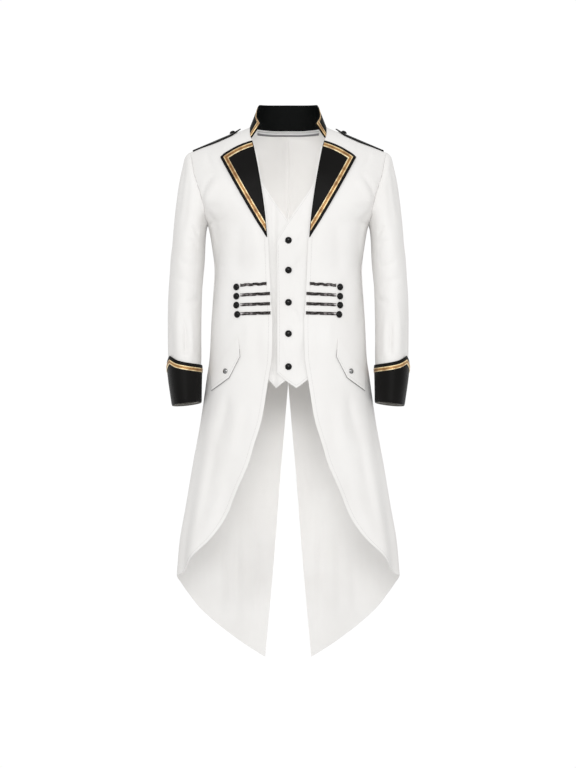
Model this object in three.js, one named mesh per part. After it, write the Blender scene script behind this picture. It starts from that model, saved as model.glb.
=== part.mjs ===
// White tailcoat with a sewn-in waistcoat front, filled out as on a wearer.
// Millimetres, +Z up, front towards -Y, the wearer's left towards +X, origin between the shoulders.
import * as THREE from "three";

// Cloth and gaps
const CLOTH = 1.6;
const TRIM_CLOTH = 2;
const BRAID = 1;
const SEAM_GAP = 0.3;
const ARMHOLE_GAP = 1.2;
const LAID_GAP = 0.55;
const COLLAR_RISE = 1.2;
const TRIM_GAP = 0.5;
const SIDES = [{ name: "left", sign: 1 }, { name: "right", sign: -1 }];

// Body: plan sections down the coat, half width and depths from the side seam plane
const BODY = [
  { z: 40, width: 240, front: 84, back: 94, square: 2.4 },
  { z: 5, width: 240, front: 86, back: 94, square: 2.4 },
  { z: -50, width: 240, front: 97, back: 94, square: 2.4 },
  { z: -110, width: 239, front: 111, back: 108, square: 2.4 },
  { z: -160, width: 233, front: 119, back: 118, square: 2.4 },
  { z: -185, width: 220, front: 122, back: 121, square: 2.4 },
  { z: -201, width: 205.5, front: 123, back: 121, square: 2.4 },
  { z: -212, width: 197, front: 124, back: 121, square: 2.4 },
  { z: -220, width: 191.5, front: 124, back: 120, square: 2.4 },
  { z: -224, width: 189.2, front: 124, back: 120, square: 2.4 },
  { z: -270, width: 180.5, front: 122, back: 111, square: 2.35 },
  { z: -330, width: 174, front: 115, back: 101, square: 2.3 },
  { z: -400, width: 178, front: 113, back: 105, square: 2.3 },
  { z: -446, width: 181, front: 114, back: 112, square: 2.3 },
  { z: -531, width: 185, front: 117, back: 124, square: 2.25 },
  { z: -583, width: 192, front: 119, back: 130, square: 2.2 },
  { z: -680, width: 206, front: 120, back: 138, square: 2.15 },
  { z: -779, width: 224, front: 118, back: 146, square: 2.1 },
  { z: -885, width: 242, front: 114, back: 154, square: 2.1 },
  { z: -972, width: 257, front: 110, back: 160, square: 2.1 },
  { z: -1048, width: 263.5, front: 106, back: 165, square: 2.1 },
  { z: -1150, width: 272, front: 100, back: 172, square: 2.1 },
  { z: -1270, width: 280, front: 95, back: 180, square: 2.1 },
];
// Shoulder line from the middle of the neck outwards, and how far below it the yoke reaches full depth
const SHOULDER = [
  { x: 0, z: 40 }, { x: 30, z: 36 }, { x: 60, z: 24 }, { x: 90, z: 8.85 }, { x: 130, z: -8.1 },
  { x: 180, z: -29.3 }, { x: 233.5, z: -52 }, { x: 300, z: -80.2 },
];
const YOKE_REACH = 150;
const ARMHOLE = [
  { z: -52, x: 233.5 }, { z: -57, x: 230 }, { z: -75, x: 226 }, { z: -99, x: 221.5 }, { z: -130, x: 214.5 },
  { z: -160, x: 207 }, { z: -185, x: 200.5 }, { z: -201, x: 196 }, { z: -212, x: 192.5 },
  { z: -220, x: 190 }, { z: -224, x: 189.2 },
];
const ARMPIT_Z = -224;
// Neck edge, roll line and cutaway front edge
const FRONT_EDGE = [
  { z: 8.85, x: 90 }, { z: -5, x: 90 }, { z: -22.3, x: 87 }, { z: -47.5, x: 76 }, { z: -120, x: 63.6 },
  { z: -204.5, x: 50.4 }, { z: -263, x: 46.5 }, { z: -403, x: 40.2 }, { z: -449, x: 36.8 },
  { z: -532, x: 38.2 }, { z: -585, x: 46 }, { z: -611, x: 50 }, { z: -678, x: 61 }, { z: -735, x: 78.4 },
  { z: -776, x: 90.5 }, { z: -851, x: 123.5 }, { z: -896, x: 143 }, { z: -946, x: 174.5 },
  { z: -1003, x: 222 }, { z: -1038, x: 253 },
];
const FRONT_HEM = [
  { inner: -224, outer: -224 }, { inner: -950, outer: -950 }, { inner: -985, outer: -992 },
  { inner: -1012, outer: -1022 }, { inner: -1030, outer: -1040 }, { inner: -1038, outer: -1048 },
];
// Back: neckline by distance from the centre, vent edge, and hem by angle from the centre back
const BACK_NECK = [
  { x: 0, z: 4.5 }, { x: 30, z: 4.3 }, { x: 60, z: 5.2 }, { x: 80, z: 7 }, { x: 90, z: 8.85 },
];
const VENT = [
  { z: -596, x: 0 }, { z: -716, x: 10 }, { z: -805, x: 17.8 }, { z: -910, x: 25.8 },
  { z: -1022, x: 34.6 }, { z: -1260, x: 55.6 },
];
const TAIL_HEM = [
  { angle: 10.6, z: -1260 }, { angle: 19, z: -1234 }, { angle: 28.4, z: -1204.5 }, { angle: 39, z: -1172.5 },
  { angle: 50.3, z: -1136 }, { angle: 62, z: -1097.5 }, { angle: 76, z: -1068 }, { angle: 90, z: -1048 },
];
const TAIL_LEVEL = -1000;
const NECK_COLUMN_SHARE = 0.4;
const BACK_CROWDING = 0.95;
// Folds: angle from the centre front, half spread, how far out, and where they start and are full
const FOLDS = [
  { angle: 63, spread: 6, out: -5, start: -100, full: -165, fade: -290 },
  { angle: 38, spread: 9, out: -7, start: -560, full: -1000, fade: -2000 },
  { angle: 56, spread: 8, out: 8, start: -600, full: -1000, fade: -2000 },
  { angle: 74, spread: 8, out: -7, start: -640, full: -1020, fade: -2000 },
  { angle: 104, spread: 9, out: -2, start: -520, full: -1020, fade: -2000 },
  { angle: 122, spread: 9, out: 1.5, start: -480, full: -1040, fade: -2000 },
  { angle: 141, spread: 9, out: -3, start: -560, full: -1100, fade: -2000 },
  { angle: 161, spread: 8, out: 6, start: -500, full: -1080, fade: -2000 },
];
// Sleeve sections below the cap: centre and half sizes
const SLEEVE = [
  { z: -262, x: 234, y: 0, across: 39, deep: 74 },
  { z: -310, x: 238, y: 0, across: 41, deep: 73 },
  { z: -385, x: 242.5, y: 0, across: 40.5, deep: 71 },
  { z: -450, x: 243.8, y: -2, across: 40.2, deep: 69 },
  { z: -531, x: 243.8, y: -10, across: 39.3, deep: 65 },
  { z: -560, x: 243.6, y: -14, across: 38.3, deep: 63 },
  { z: -660, x: 237.6, y: -26, across: 31.6, deep: 57 },
];
const SLEEVE_SEAMS = { front: 125, back: 238 };
const UPPER_SLEEVE_TURNS = [-105, -90, -75, -56, -37.5, -19, 0, 19, 37.5, 56, 75, 90, 105];
const UNDER_SLEEVE_TURNS = [145, 163, 180, 197, 215];
const CAP_FULLNESS = 0.62;
const CAP_DROP = 0.1;
const SLEEVE_END = { z: -641, slopeX: -0.12, slopeY: -0.07 };
const CUFF_CLEARANCE = { bottom: 0.8, top: 1.4 };
const CUFF_EDGE = [
  { angle: 0, z: -551 }, { angle: 37.5, z: -531 }, { angle: 75, z: -543 }, { angle: 120, z: -549 },
  { angle: 180, z: -553 },
];
const CUFF_LENGTH_BELOW_SLEEVE = 3.5;
const CUFF_SPLIT = 0.4;
const CUFF_LEVELS = [0, 0.33, 0.66, 1];
// Collar stations from the centre back to the pointed front end
const COLLAR = [
  { base: 0, top: { x: 0, y: 51, z: 66 } },
  { base: 0.3, top: { x: 44, y: 42, z: 65 } },
  { base: 0.62, top: { x: 68.5, y: 13, z: 63 } },
  { base: 0.85, top: { x: 74.5, y: -17, z: 36 } },
  { base: 1, top: { x: 63.8, y: -53, z: 11.7 } },
];
const COLLAR_WALL = 2.4;
const COLLAR_FRONT_Z = -22.3;
const COLLAR_BACK_SHARE = 0.7;
const COLLAR_LEVELS = [1, 0.66, 0.33, 0];
const COLLAR_SHARES = [0, 0.15, 0.3, 0.42, 0.52, 0.62, 0.7, 0.78, 0.85, 0.93, 1];
const COLLAR_FLAT = { length: 150, height: 62, foot: 0.02 };
// Lapel corners on the front, and its roll line
const LAPEL = {
  top: { x: 84, z: -28.5 }, point: { x: 157.4, z: -69.3 }, tip: { x: 48.5, z: -257 },
  topBulge: 5, outerBulge: 2.5, tipWidth: 1.6, tipDrop: 0.5, lift: 3, liftReach: 60,
};
const LAPEL_ROLL = [
  { z: -28.5, x: 84 }, { z: -47.5, x: 78.8 }, { z: -204.5, x: 53.2 }, { z: -257, x: 48.5 },
];
const LAPEL_BRAID = { margin: 6.5, width: 9.5, end: 0.86 };
const COLLAR_BRAID = { margin: 2, width: 9 };
const CUFF_BRAID = { margin: 8, width: 9.5 };
// Waistcoat front: one half laps over the other at the buttons
const VEST = {
  apexZ: -219.6, neckSlope: 1.449, lapSlope: 1.63,
  lift: -4.5, underLift: -6.5, seatLift: -3.1, seatX: 34, seatReach: 28, wall: 1.4,
};
const VEST_COLUMNS = {
  left: [-26, -15, -5, 7, 19, 33, 47, 60, 74, 88],
  right: [-8, 5, 17, 29, 38, 47, 60, 74, 88],
};
const VEST_HEM = {
  left: [
    { x: -26, z: -572 }, { x: -5, z: -590 }, { x: 19, z: -606.7 }, { x: 47, z: -586 }, { x: 88, z: -574 },
  ],
  right: [
    { x: -8, z: -590 }, { x: 5, z: -588 }, { x: 29, z: -606.7 }, { x: 47, z: -586 }, { x: 88, z: -574 },
  ],
};
const VEST_BUTTON_X = 0.6;
const VEST_BUTTONS = [-264.7, -333.3, -407.8, -480.3, -556.7];
// Bands and buttons across each front
const BANDS = [
  { innerX: 50, innerZ: -364.5, outerZ: -367.5, buttonZ: -371.5, buttonX: 120.2 },
  { innerX: 42, innerZ: -387.5, outerZ: -390.5, buttonZ: -393, buttonX: 120.2 },
  { innerX: 42, innerZ: -411, outerZ: -413, buttonZ: -413.7, buttonX: 120.2 },
  { innerX: 41, innerZ: -432.5, outerZ: -434, buttonZ: -435.4, buttonX: 118 },
];
const BAND = { outerX: 111, width: 7.4, thick: 1.5 };
const FLAP = {
  top: [{ x: 115.3, z: -490.4 }, { x: 180.5, z: -577 }],
  bottom: [{ x: 111.3, z: -533.8 }, { x: 136.3, z: -582.2 }, { x: 177, z: -611.8 }],
  button: { x: 144, z: -567.3 }, stand: 2.5, buttonLift: 2.2,
};
// Shoulder strap: ends, half width, pointed end, narrowing of its front half, and its lifted tip
const STRAP = {
  outerX: 224, innerX: 110, halfWidth: 21, point: 24, bluntness: 3, taper: 0.6, taperX: 160, taperReach: 64,
  lift: 0.95, tipLift: 4, tipX: 140, tipReach: 40, buttonX: 130, buttonGap: 0.9,
};
const BUTTONS = {
  vest: { radius: 7.6, height: 5 }, band: { radius: 7.4, height: 5 },
  flap: { radius: 5.8, height: 3.5 }, strap: { radius: 7, height: 5 },
};
const BUTTON_SEGMENTS = 10;
const TAPE = { halfWidth: 74, height: 9, wall: 1, drop: 1.2, lift: -2.8 };

// Grid sizes
const YOKE_ROWS = 10;
const SKIRT_STEP = 50;
const FRONT_COLUMNS = 10;
const BACK_COLUMNS = 13;
const TAIL_ROWS = 5;
const CAP_ROWS = 6;
const SLEEVE_STEP = 48;
const LAPEL_GRID = { down: 14, across: 6, braidTop: 7, braidSide: 16 };
const VEST_ROWS = 11;
const BAND_COLUMNS = 9;
const FLAP_GRID = { down: 4, across: 8 };
const STRAP_GRID = { point: 3, body: 7, across: 8 };
const TAPE_COLUMNS = 14;
const RIDGE_STEPS = 30;
const SHARE_STEP = 0.01;
const NEARLY_ZERO = 1e-6;
const EPSILON = 0.5;

const white = () => new THREE.MeshStandardMaterial({ color: 0xf3f1ee, roughness: 0.8, metalness: 0 });
const black = () => new THREE.MeshStandardMaterial({ color: 0x121212, roughness: 0.45, metalness: 0 });
const gold = () => new THREE.MeshStandardMaterial({ color: 0xc99a4e, roughness: 0.4, metalness: 0.5 });
const bandDark = () => new THREE.MeshStandardMaterial({ color: 0x2a2624, roughness: 0.35, metalness: 0.3 });
const domeBlack = () => new THREE.MeshStandardMaterial({ color: 0x151515, roughness: 0.25, metalness: 0.2 });
const steel = () => new THREE.MeshStandardMaterial({ color: 0x9a9a9a, roughness: 0.3, metalness: 0.9 });
const tape = () => new THREE.MeshStandardMaterial({ color: 0xbdbdbd, roughness: 0.7, metalness: 0 });

const group = new THREE.Group();
const lerp = (a, b, t) => a + (b - a) * t;
const radians = (degrees) => (degrees * Math.PI) / 180;
const clamp01 = (t) => Math.min(1, Math.max(0, t));
const smoothstep = (t) => clamp01(t) ** 2 * (3 - 2 * clamp01(t));

// Smooth curve through a table that never overshoots its rows
function through(rows, key, value) {
  const sorted = [...rows].sort((p, q) => p[key] - q[key]);
  const xs = sorted.map((row) => row[key]);
  const ys = sorted.map((row) => row[value]);
  const last = xs.length - 1;
  const slope = xs.slice(1).map((x, i) => (ys[i + 1] - ys[i]) / (x - xs[i]));
  const tangent = ys.map((_, i) => {
    if (i === 0) return slope[0];
    if (i === last) return slope[last - 1];
    if (slope[i - 1] * slope[i] <= 0) return 0;
    return (2 * slope[i - 1] * slope[i]) / (slope[i - 1] + slope[i]);
  });
  return (x) => {
    const at = Math.min(xs[last], Math.max(xs[0], x));
    let i = 0;
    while (i < last - 1 && at > xs[i + 1]) i += 1;
    const h = xs[i + 1] - xs[i];
    const t = (at - xs[i]) / h;
    const rise = ys[i] * (1 + 2 * t) * (1 - t) ** 2 + ys[i + 1] * t * t * (3 - 2 * t);
    return rise + h * (tangent[i] * t * (1 - t) ** 2 - tangent[i + 1] * t * t * (1 - t));
  };
}

const halfWidth = through(BODY, "z", "width");
const frontDepth = through(BODY, "z", "front");
const backDepth = through(BODY, "z", "back");
const squareness = through(BODY, "z", "square");
const shoulderZ = through(SHOULDER, "x", "z");
const armholeX = through(ARMHOLE, "z", "x");
const frontEdgeX = through(FRONT_EDGE, "z", "x");
const ventX = through(VENT, "z", "x");
const backNeckZ = through(BACK_NECK, "x", "z");
const tailHemZ = through(TAIL_HEM, "angle", "z");

// Angle across a section, 0 at the centre and a right angle at the side
function angleAt(x, z) {
  const share = Math.min(1, Math.max(0, x) / halfWidth(z));
  return Math.asin(share ** (squareness(z) / 2));
}

function yokeShare(x, z) {
  const drop = clamp01((shoulderZ(x) - z) / YOKE_REACH);
  return Math.sqrt(Math.max(0, 1 - (1 - drop) ** 2));
}

function foldOut(angleFromFront, z) {
  let out = 0;
  for (const fold of FOLDS) {
    const along = smoothstep((fold.start - z) / (fold.start - fold.full));
    const fading = 1 - smoothstep((fold.full - z) / (fold.full - fold.fade));
    const across = Math.exp(-(((angleFromFront - fold.angle) / fold.spread) ** 2));
    out += fold.out * along * fading * across;
  }
  return out;
}

// Point of the coat's outer face; facing is -1 for the front half and 1 for the back half
function bodyAt(angle, z, facing) {
  const power = 2 / squareness(z);
  const sin = Math.sin(angle);
  const cos = Math.max(0, Math.cos(angle));
  const x = halfWidth(z) * sin ** power;
  const depth = (facing < 0 ? frontDepth(z) : backDepth(z)) * cos ** power * yokeShare(x, z);
  const degrees = (angle * 180) / Math.PI;
  const fold = foldOut(facing < 0 ? degrees : 180 - degrees, z);
  return new THREE.Vector3(x + fold * sin, facing * (depth + fold * cos + SEAM_GAP / 2), z);
}

function bodyPoint(x, z, facing, lift) {
  const point = bodyAt(angleAt(x, z), z, facing);
  if (!lift) return point;
  const nextX = bodyAt(angleAt(x + EPSILON, z), z, facing).sub(point);
  const nextZ = bodyAt(angleAt(x, z + EPSILON), z + EPSILON, facing).sub(point);
  const normal = facing < 0 ? nextX.cross(nextZ) : nextZ.cross(nextX);
  return point.addScaledVector(normal.normalize(), lift);
}

const frontPoint = (x, z, lift) => {
  const point = bodyPoint(Math.abs(x), z, -1, lift);
  return x < 0 ? point.setX(-point.x) : point;
};

// Closed solid between an outer and an inner grid of points with the same rows and columns
function slab(outer, inner) {
  const rows = outer.length;
  const columns = outer[0].length;
  const points = [...outer.flat(), ...inner.flat()];
  const index = [];
  const at = (layer, r, c) => layer * rows * columns + r * columns + c;
  const quad = (a, b, c, d) => index.push(a, b, c, a, c, d);
  for (let r = 0; r + 1 < rows; r += 1) {
    for (let c = 0; c + 1 < columns; c += 1) {
      quad(at(0, r, c), at(0, r + 1, c), at(0, r + 1, c + 1), at(0, r, c + 1));
      quad(at(1, r, c), at(1, r, c + 1), at(1, r + 1, c + 1), at(1, r + 1, c));
    }
    quad(at(0, r, 0), at(1, r, 0), at(1, r + 1, 0), at(0, r + 1, 0));
    const last = columns - 1;
    quad(at(0, r, last), at(0, r + 1, last), at(1, r + 1, last), at(1, r, last));
  }
  const foot = rows - 1;
  for (let c = 0; c + 1 < columns; c += 1) {
    quad(at(0, 0, c), at(0, 0, c + 1), at(1, 0, c + 1), at(1, 0, c));
    quad(at(0, foot, c), at(1, foot, c), at(1, foot, c + 1), at(0, foot, c + 1));
  }
  return solid(points, index);
}

// Indexed geometry with its faces turned outwards
function solid(points, index) {
  let volume = 0;
  for (let i = 0; i < index.length; i += 3) {
    const [a, b, c] = [points[index[i]], points[index[i + 1]], points[index[i + 2]]];
    volume += a.dot(b.clone().cross(c));
  }
  if (volume < 0) {
    for (let i = 0; i < index.length; i += 3) {
      [index[i + 1], index[i + 2]] = [index[i + 2], index[i + 1]];
    }
  }
  const geometry = new THREE.BufferGeometry();
  geometry.setAttribute("position", new THREE.Float32BufferAttribute(points.flatMap((p) => p.toArray()), 3));
  geometry.setIndex(index);
  geometry.computeVertexNormals();
  return geometry;
}

// Inner face of a cloth wall; seams name the axis along which the wall must not lean at that edge
function innerGrid(outer, thickness, seams = {}) {
  const rows = outer.length;
  const columns = outer[0].length;
  return outer.map((row, r) => row.map((point, c) => {
    const down = outer[Math.min(rows - 1, r + 1)][c].clone().sub(outer[Math.max(0, r - 1)][c]);
    const across = row[Math.min(columns - 1, c + 1)].clone().sub(row[Math.max(0, c - 1)]);
    const normal = across.cross(down).normalize();
    if (seams.top && r === 0) normal[seams.top] = 0;
    if (seams.start && c === 0) normal[seams.start] = 0;
    if (seams.end && c === columns - 1) normal[seams.end] = 0;
    return point.clone().addScaledVector(normal.normalize(), thickness * (seams.turn ?? 1));
  }));
}

function mirror(grid, sign) {
  return grid.map((row) => row.map((point) => new THREE.Vector3(point.x * sign, point.y, point.z)));
}

function add(name, geometry, material) {
  const mesh = new THREE.Mesh(geometry, material);
  mesh.name = name;
  group.add(mesh);
}

function addSlab(name, outer, inner, sign, material) {
  add(name, slab(mirror(outer, sign), mirror(inner, sign)), material);
}

// Row heights shared by fronts and backs: yoke rows follow the shoulder, the rest hang level
const yokeDrop = (row) => 1 - Math.cos(((row / YOKE_ROWS) * Math.PI) / 2);

function frontRows() {
  const rows = [];
  for (let i = 0; i < YOKE_ROWS; i += 1) {
    const drop = yokeDrop(i);
    rows.push({
      inner: lerp(FRONT_EDGE[0].z, ARMPIT_Z, drop),
      outer: lerp(ARMHOLE[0].z, ARMPIT_Z, drop),
    });
  }
  const [top, level, ...hem] = FRONT_HEM;
  const steps = Math.round((top.inner - level.inner) / SKIRT_STEP);
  for (let i = 0; i <= steps; i += 1) {
    const z = lerp(top.inner, level.inner, i / steps);
    rows.push({ inner: z, outer: z });
  }
  return [...rows, ...hem];
}

const outerAngle = (z) => (z > ARMPIT_Z ? angleAt(armholeX(z), z) : Math.PI / 2);

function frontGrid() {
  return frontRows().map((row) => {
    const start = angleAt(frontEdgeX(row.inner), row.inner);
    const end = outerAngle(row.outer);
    const startX = frontEdgeX(row.inner);
    const endX = row.outer > ARMPIT_Z ? armholeX(row.outer) : halfWidth(row.outer);
    const points = [];
    for (let c = 0; c <= FRONT_COLUMNS; c += 1) {
      const angle = lerp(start, end, c / FRONT_COLUMNS);
      const middle = lerp(row.inner, row.outer, c / FRONT_COLUMNS);
      const x = c === FRONT_COLUMNS ? endX : halfWidth(middle) * Math.sin(angle) ** (2 / squareness(middle));
      const share = clamp01((x - startX) / (endX - startX));
      const z = row.inner === FRONT_EDGE[0].z ? shoulderZ(x) : lerp(row.inner, row.outer, share);
      points.push(c === FRONT_COLUMNS ? bodyAt(end, row.outer, -1) : bodyAt(angleAt(x, z), z, -1));
    }
    return points;
  });
}

// Back grid: columns meet the neck point, rows bend from the neckline and shoulder to the tail hem
function backGrid() {
  const neckColumns = Math.round(BACK_COLUMNS * NECK_COLUMN_SHARE);
  const neckX = BACK_NECK[BACK_NECK.length - 1].x;
  const rows = [];
  for (let i = 0; i < YOKE_ROWS; i += 1) {
    const drop = yokeDrop(i);
    const outerZ = lerp(ARMHOLE[0].z, ARMPIT_Z, drop);
    const endX = armholeX(outerZ);
    const row = [];
    for (let c = 0; c <= BACK_COLUMNS; c += 1) {
      const x = c <= neckColumns
        ? (neckX * c) / neckColumns
        : lerp(neckX, endX, (c - neckColumns) / (BACK_COLUMNS - neckColumns));
      const shoulderX = lerp(neckX, ARMHOLE[0].x, (x - neckX) / (endX - neckX));
      const top = c <= neckColumns ? backNeckZ(x) : shoulderZ(shoulderX);
      const z = c === BACK_COLUMNS ? outerZ : lerp(top, ARMPIT_Z, drop);
      row.push(i === 0 && c >= neckColumns ? ridgePoint(x) : bodyAt(angleAt(x, z), z, 1));
    }
    rows.push(row);
  }
  const levels = [];
  const steps = Math.round((ARMPIT_Z - TAIL_LEVEL) / SKIRT_STEP);
  for (let i = 0; i <= steps; i += 1) levels.push({ z: lerp(ARMPIT_Z, TAIL_LEVEL, i / steps), hem: 0 });
  for (let i = 1; i <= TAIL_ROWS; i += 1) levels.push({ z: TAIL_LEVEL, hem: i / TAIL_ROWS });
  for (const level of levels) {
    const centreZ = lerp(level.z, TAIL_HEM[0].z, level.hem);
    const start = angleAt(ventX(centreZ), centreZ);
    const row = [];
    for (let c = 0; c <= BACK_COLUMNS; c += 1) {
      const angle = lerp(start, Math.PI / 2, (c / BACK_COLUMNS) ** BACK_CROWDING);
      const z = lerp(level.z, tailHemZ((angle * 180) / Math.PI), level.hem);
      row.push(bodyAt(angle, z, 1));
    }
    rows.push(row);
  }
  return rows.map((row) => row.map((point) => point.setX(point.x + SEAM_GAP / 2)));
}

function ridgePoint(x) {
  return new THREE.Vector3(x, SEAM_GAP / 2, shoulderZ(x));
}

function addBody() {
  const front = frontGrid();
  const back = backGrid();
  for (const side of SIDES) {
    const frontInner = innerGrid(front, CLOTH, { top: "y", end: "y" });
    addSlab(`front_${side.name}`, front, frontInner, side.sign, white());
    const backInner = innerGrid(back, CLOTH, { top: "y", start: "x", end: "y", turn: -1 });
    addSlab(`back_${side.name}`, back, backInner, side.sign, white());
  }
}

const sleeveX = through(SLEEVE, "z", "x");
const sleeveY = through(SLEEVE, "z", "y");
const sleeveAcross = through(SLEEVE, "z", "across");
const sleeveDeep = through(SLEEVE, "z", "deep");

// Point of the sleeve at an angle from its outer side, turning to the front first
function sleeveSection(degrees, z, spare = 0) {
  const angle = radians(degrees);
  const x = sleeveX(z) + (sleeveAcross(z) + spare) * Math.cos(angle);
  const y = sleeveY(z) - (sleeveDeep(z) + spare) * Math.sin(angle);
  return new THREE.Vector3(x, y, z);
}

function armholePoint(degrees) {
  const angle = radians(degrees);
  const middle = (ARMHOLE[0].z + ARMPIT_Z) / 2;
  const z = middle + ((ARMHOLE[0].z - ARMPIT_Z) / 2) * Math.cos(angle);
  const facing = Math.sin(angle) >= 0 ? -1 : 1;
  const point = bodyAt(angleAt(armholeX(z), z), z, facing);
  return Math.abs(Math.sin(angle)) < NEARLY_ZERO ? point.setY(0) : point;
}

// Point down the sleeve: 0 to 1 over the cap, then by height
function capPoint(degrees, t) {
  const start = armholePoint(degrees);
  const end = sleeveSection(degrees, SLEEVE[0].z);
  const control = new THREE.Vector3(
    lerp(start.x, end.x, CAP_FULLNESS), lerp(start.y, end.y, CAP_FULLNESS), lerp(start.z, end.z, CAP_DROP));
  start.addScaledVector(control.clone().sub(start).normalize(), ARMHOLE_GAP);
  const point = start.multiplyScalar((1 - t) ** 2);
  return point.addScaledVector(control, 2 * t * (1 - t)).addScaledVector(end, t * t);
}

function sleeveEndZ(degrees, extra) {
  const middle = sleeveSection(degrees, SLEEVE_END.z);
  const tiltX = SLEEVE_END.slopeX * (middle.x - sleeveX(SLEEVE_END.z));
  const tiltY = SLEEVE_END.slopeY * (middle.y - sleeveY(SLEEVE_END.z));
  return SLEEVE_END.z + tiltX + tiltY - extra;
}

function sleeveGrid(angles) {
  const rows = [];
  for (let i = 0; i < CAP_ROWS; i += 1) rows.push(angles.map((a) => capPoint(a, i / CAP_ROWS)));
  const steps = Math.round((SLEEVE[0].z - SLEEVE_END.z) / SLEEVE_STEP);
  for (let i = 0; i <= steps; i += 1) {
    rows.push(angles.map((a) => sleeveSection(a, lerp(SLEEVE[0].z, sleeveEndZ(a, 0), i / steps))));
  }
  return rows;
}

const spread = (from, to, count) => Array.from({ length: count + 1 }, (_, i) => lerp(from, to, i / count));

// A wall whose grid has one spare column at each side, used only for the direction of the cloth
function trimmedWall(name, grid, thickness, turn, sign, material) {
  const inner = innerGrid(grid, thickness, { turn });
  const trim = (rows) => rows.map((row) => row.slice(1, -1));
  addSlab(name, trim(grid), trim(inner), sign, material);
}

function addSleeves() {
  const gap = (SEAM_GAP * 90) / (Math.PI * SLEEVE[0].deep);
  const { front, back } = SLEEVE_SEAMS;
  const pieces = [
    {
      name: "upper_sleeve", before: UNDER_SLEEVE_TURNS.at(-1) - 360, from: back - 360 + gap,
      turns: UPPER_SLEEVE_TURNS, to: front - gap, after: UNDER_SLEEVE_TURNS[0],
    },
    {
      name: "under_sleeve", before: UPPER_SLEEVE_TURNS.at(-1), from: front + gap,
      turns: UNDER_SLEEVE_TURNS, to: back - gap, after: UPPER_SLEEVE_TURNS[0] + 360,
    },
  ];
  for (const side of SIDES) {
    for (const piece of pieces) {
      const angles = [piece.before, piece.from, ...piece.turns, piece.to, piece.after];
      trimmedWall(`${piece.name}_${side.name}`, sleeveGrid(angles), CLOTH, -1, side.sign, white());
    }
  }
}

const cuffEdgeZ = (degrees) => {
  const turned = Math.abs(((degrees + 180) % 360 + 360) % 360 - 180);
  const rows = CUFF_EDGE;
  const i = rows.findIndex((row, k) => k + 1 < rows.length && turned <= rows[k + 1].angle);
  return lerp(rows[i].z, rows[i + 1].z, (turned - rows[i].angle) / (rows[i + 1].angle - rows[i].angle));
};

function cuffPoint(degrees, z, lift) {
  const low = sleeveEndZ(degrees, CUFF_LENGTH_BELOW_SLEEVE);
  const up = (z - low) / (CUFF_EDGE[1].z - low);
  return sleeveSection(degrees, z, lerp(CUFF_CLEARANCE.bottom, CUFF_CLEARANCE.top, up) + lift);
}

const CUFF_ANGLES = [
  -180 + CUFF_SPLIT, ...UNDER_SLEEVE_TURNS.filter((a) => a > 180).map((a) => a - 360),
  SLEEVE_SEAMS.back - 360, ...UPPER_SLEEVE_TURNS, SLEEVE_SEAMS.front, ...UNDER_SLEEVE_TURNS.filter((a) => a < 180), 180 - CUFF_SPLIT,
].sort((a, b) => a - b);

function addCuffs() {
  const grid = (lift) => CUFF_LEVELS.map((t) => CUFF_ANGLES.map((a) => {
    const z = lerp(cuffEdgeZ(a), sleeveEndZ(a, CUFF_LENGTH_BELOW_SLEEVE), t);
    return cuffPoint(a, z, lift);
  }));
  const braidGrid = (lift) => [0, 1].map((t) => CUFF_ANGLES.map((a) => {
    const z = cuffEdgeZ(a) - CUFF_BRAID.margin - CUFF_BRAID.width * t;
    return cuffPoint(a, z, TRIM_CLOTH + TRIM_GAP + lift);
  }));
  for (const side of SIDES) {
    addSlab(`cuff_${side.name}`, grid(TRIM_CLOTH), grid(0), side.sign, black());
    addSlab(`cuff_braid_${side.name}`, braidGrid(BRAID), braidGrid(0), side.sign, gold());
  }
}

// Neck seam from the centre back, round the side, to the collar's front end
function neckSeam(share) {
  const neckX = BACK_NECK[BACK_NECK.length - 1].x;
  if (share <= COLLAR_BACK_SHARE) {
    const x = neckX * Math.sin((share / COLLAR_BACK_SHARE) * (Math.PI / 2));
    const z = backNeckZ(x);
    return x >= neckX - NEARLY_ZERO ? ridgePoint(neckX) : bodyAt(angleAt(x, z), z, 1);
  }
  const along = (share - COLLAR_BACK_SHARE) / (1 - COLLAR_BACK_SHARE);
  const drop = 1 - Math.cos((along * Math.PI) / 2);
  const z = lerp(FRONT_EDGE[0].z, COLLAR_FRONT_Z, drop);
  return bodyAt(angleAt(frontEdgeX(z), z), z, -1);
}

const collarTop = ["x", "y", "z"].map((axis) =>
  through(COLLAR.map((row) => ({ share: row.base, value: row.top[axis] })), "share", "value"));

// Point of the collar's outer face, share from -1 to 1 round the neck, up from 0 to 1
function collarPoint(share, up, lift = 0) {
  const at = (s, u) => {
    const base = neckSeam(Math.abs(s)).add(new THREE.Vector3(0, 0, COLLAR_RISE));
    const top = new THREE.Vector3(...collarTop.map((axis) => axis(Math.abs(s))));
    const point = base.lerp(top, u);
    return s < 0 ? point.setX(-point.x) : point;
  };
  const point = at(share, up);
  if (!lift) return point;
  const along = at(Math.min(1, share + SHARE_STEP), up).sub(at(Math.max(-1, share - SHARE_STEP), up));
  const rise = at(share, up + SHARE_STEP).sub(at(share, up - SHARE_STEP));
  return point.addScaledVector(along.cross(rise).normalize(), -lift);
}

const bothWays = (shares) => [...shares.slice(1).reverse().map((s) => -s), ...shares];

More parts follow.
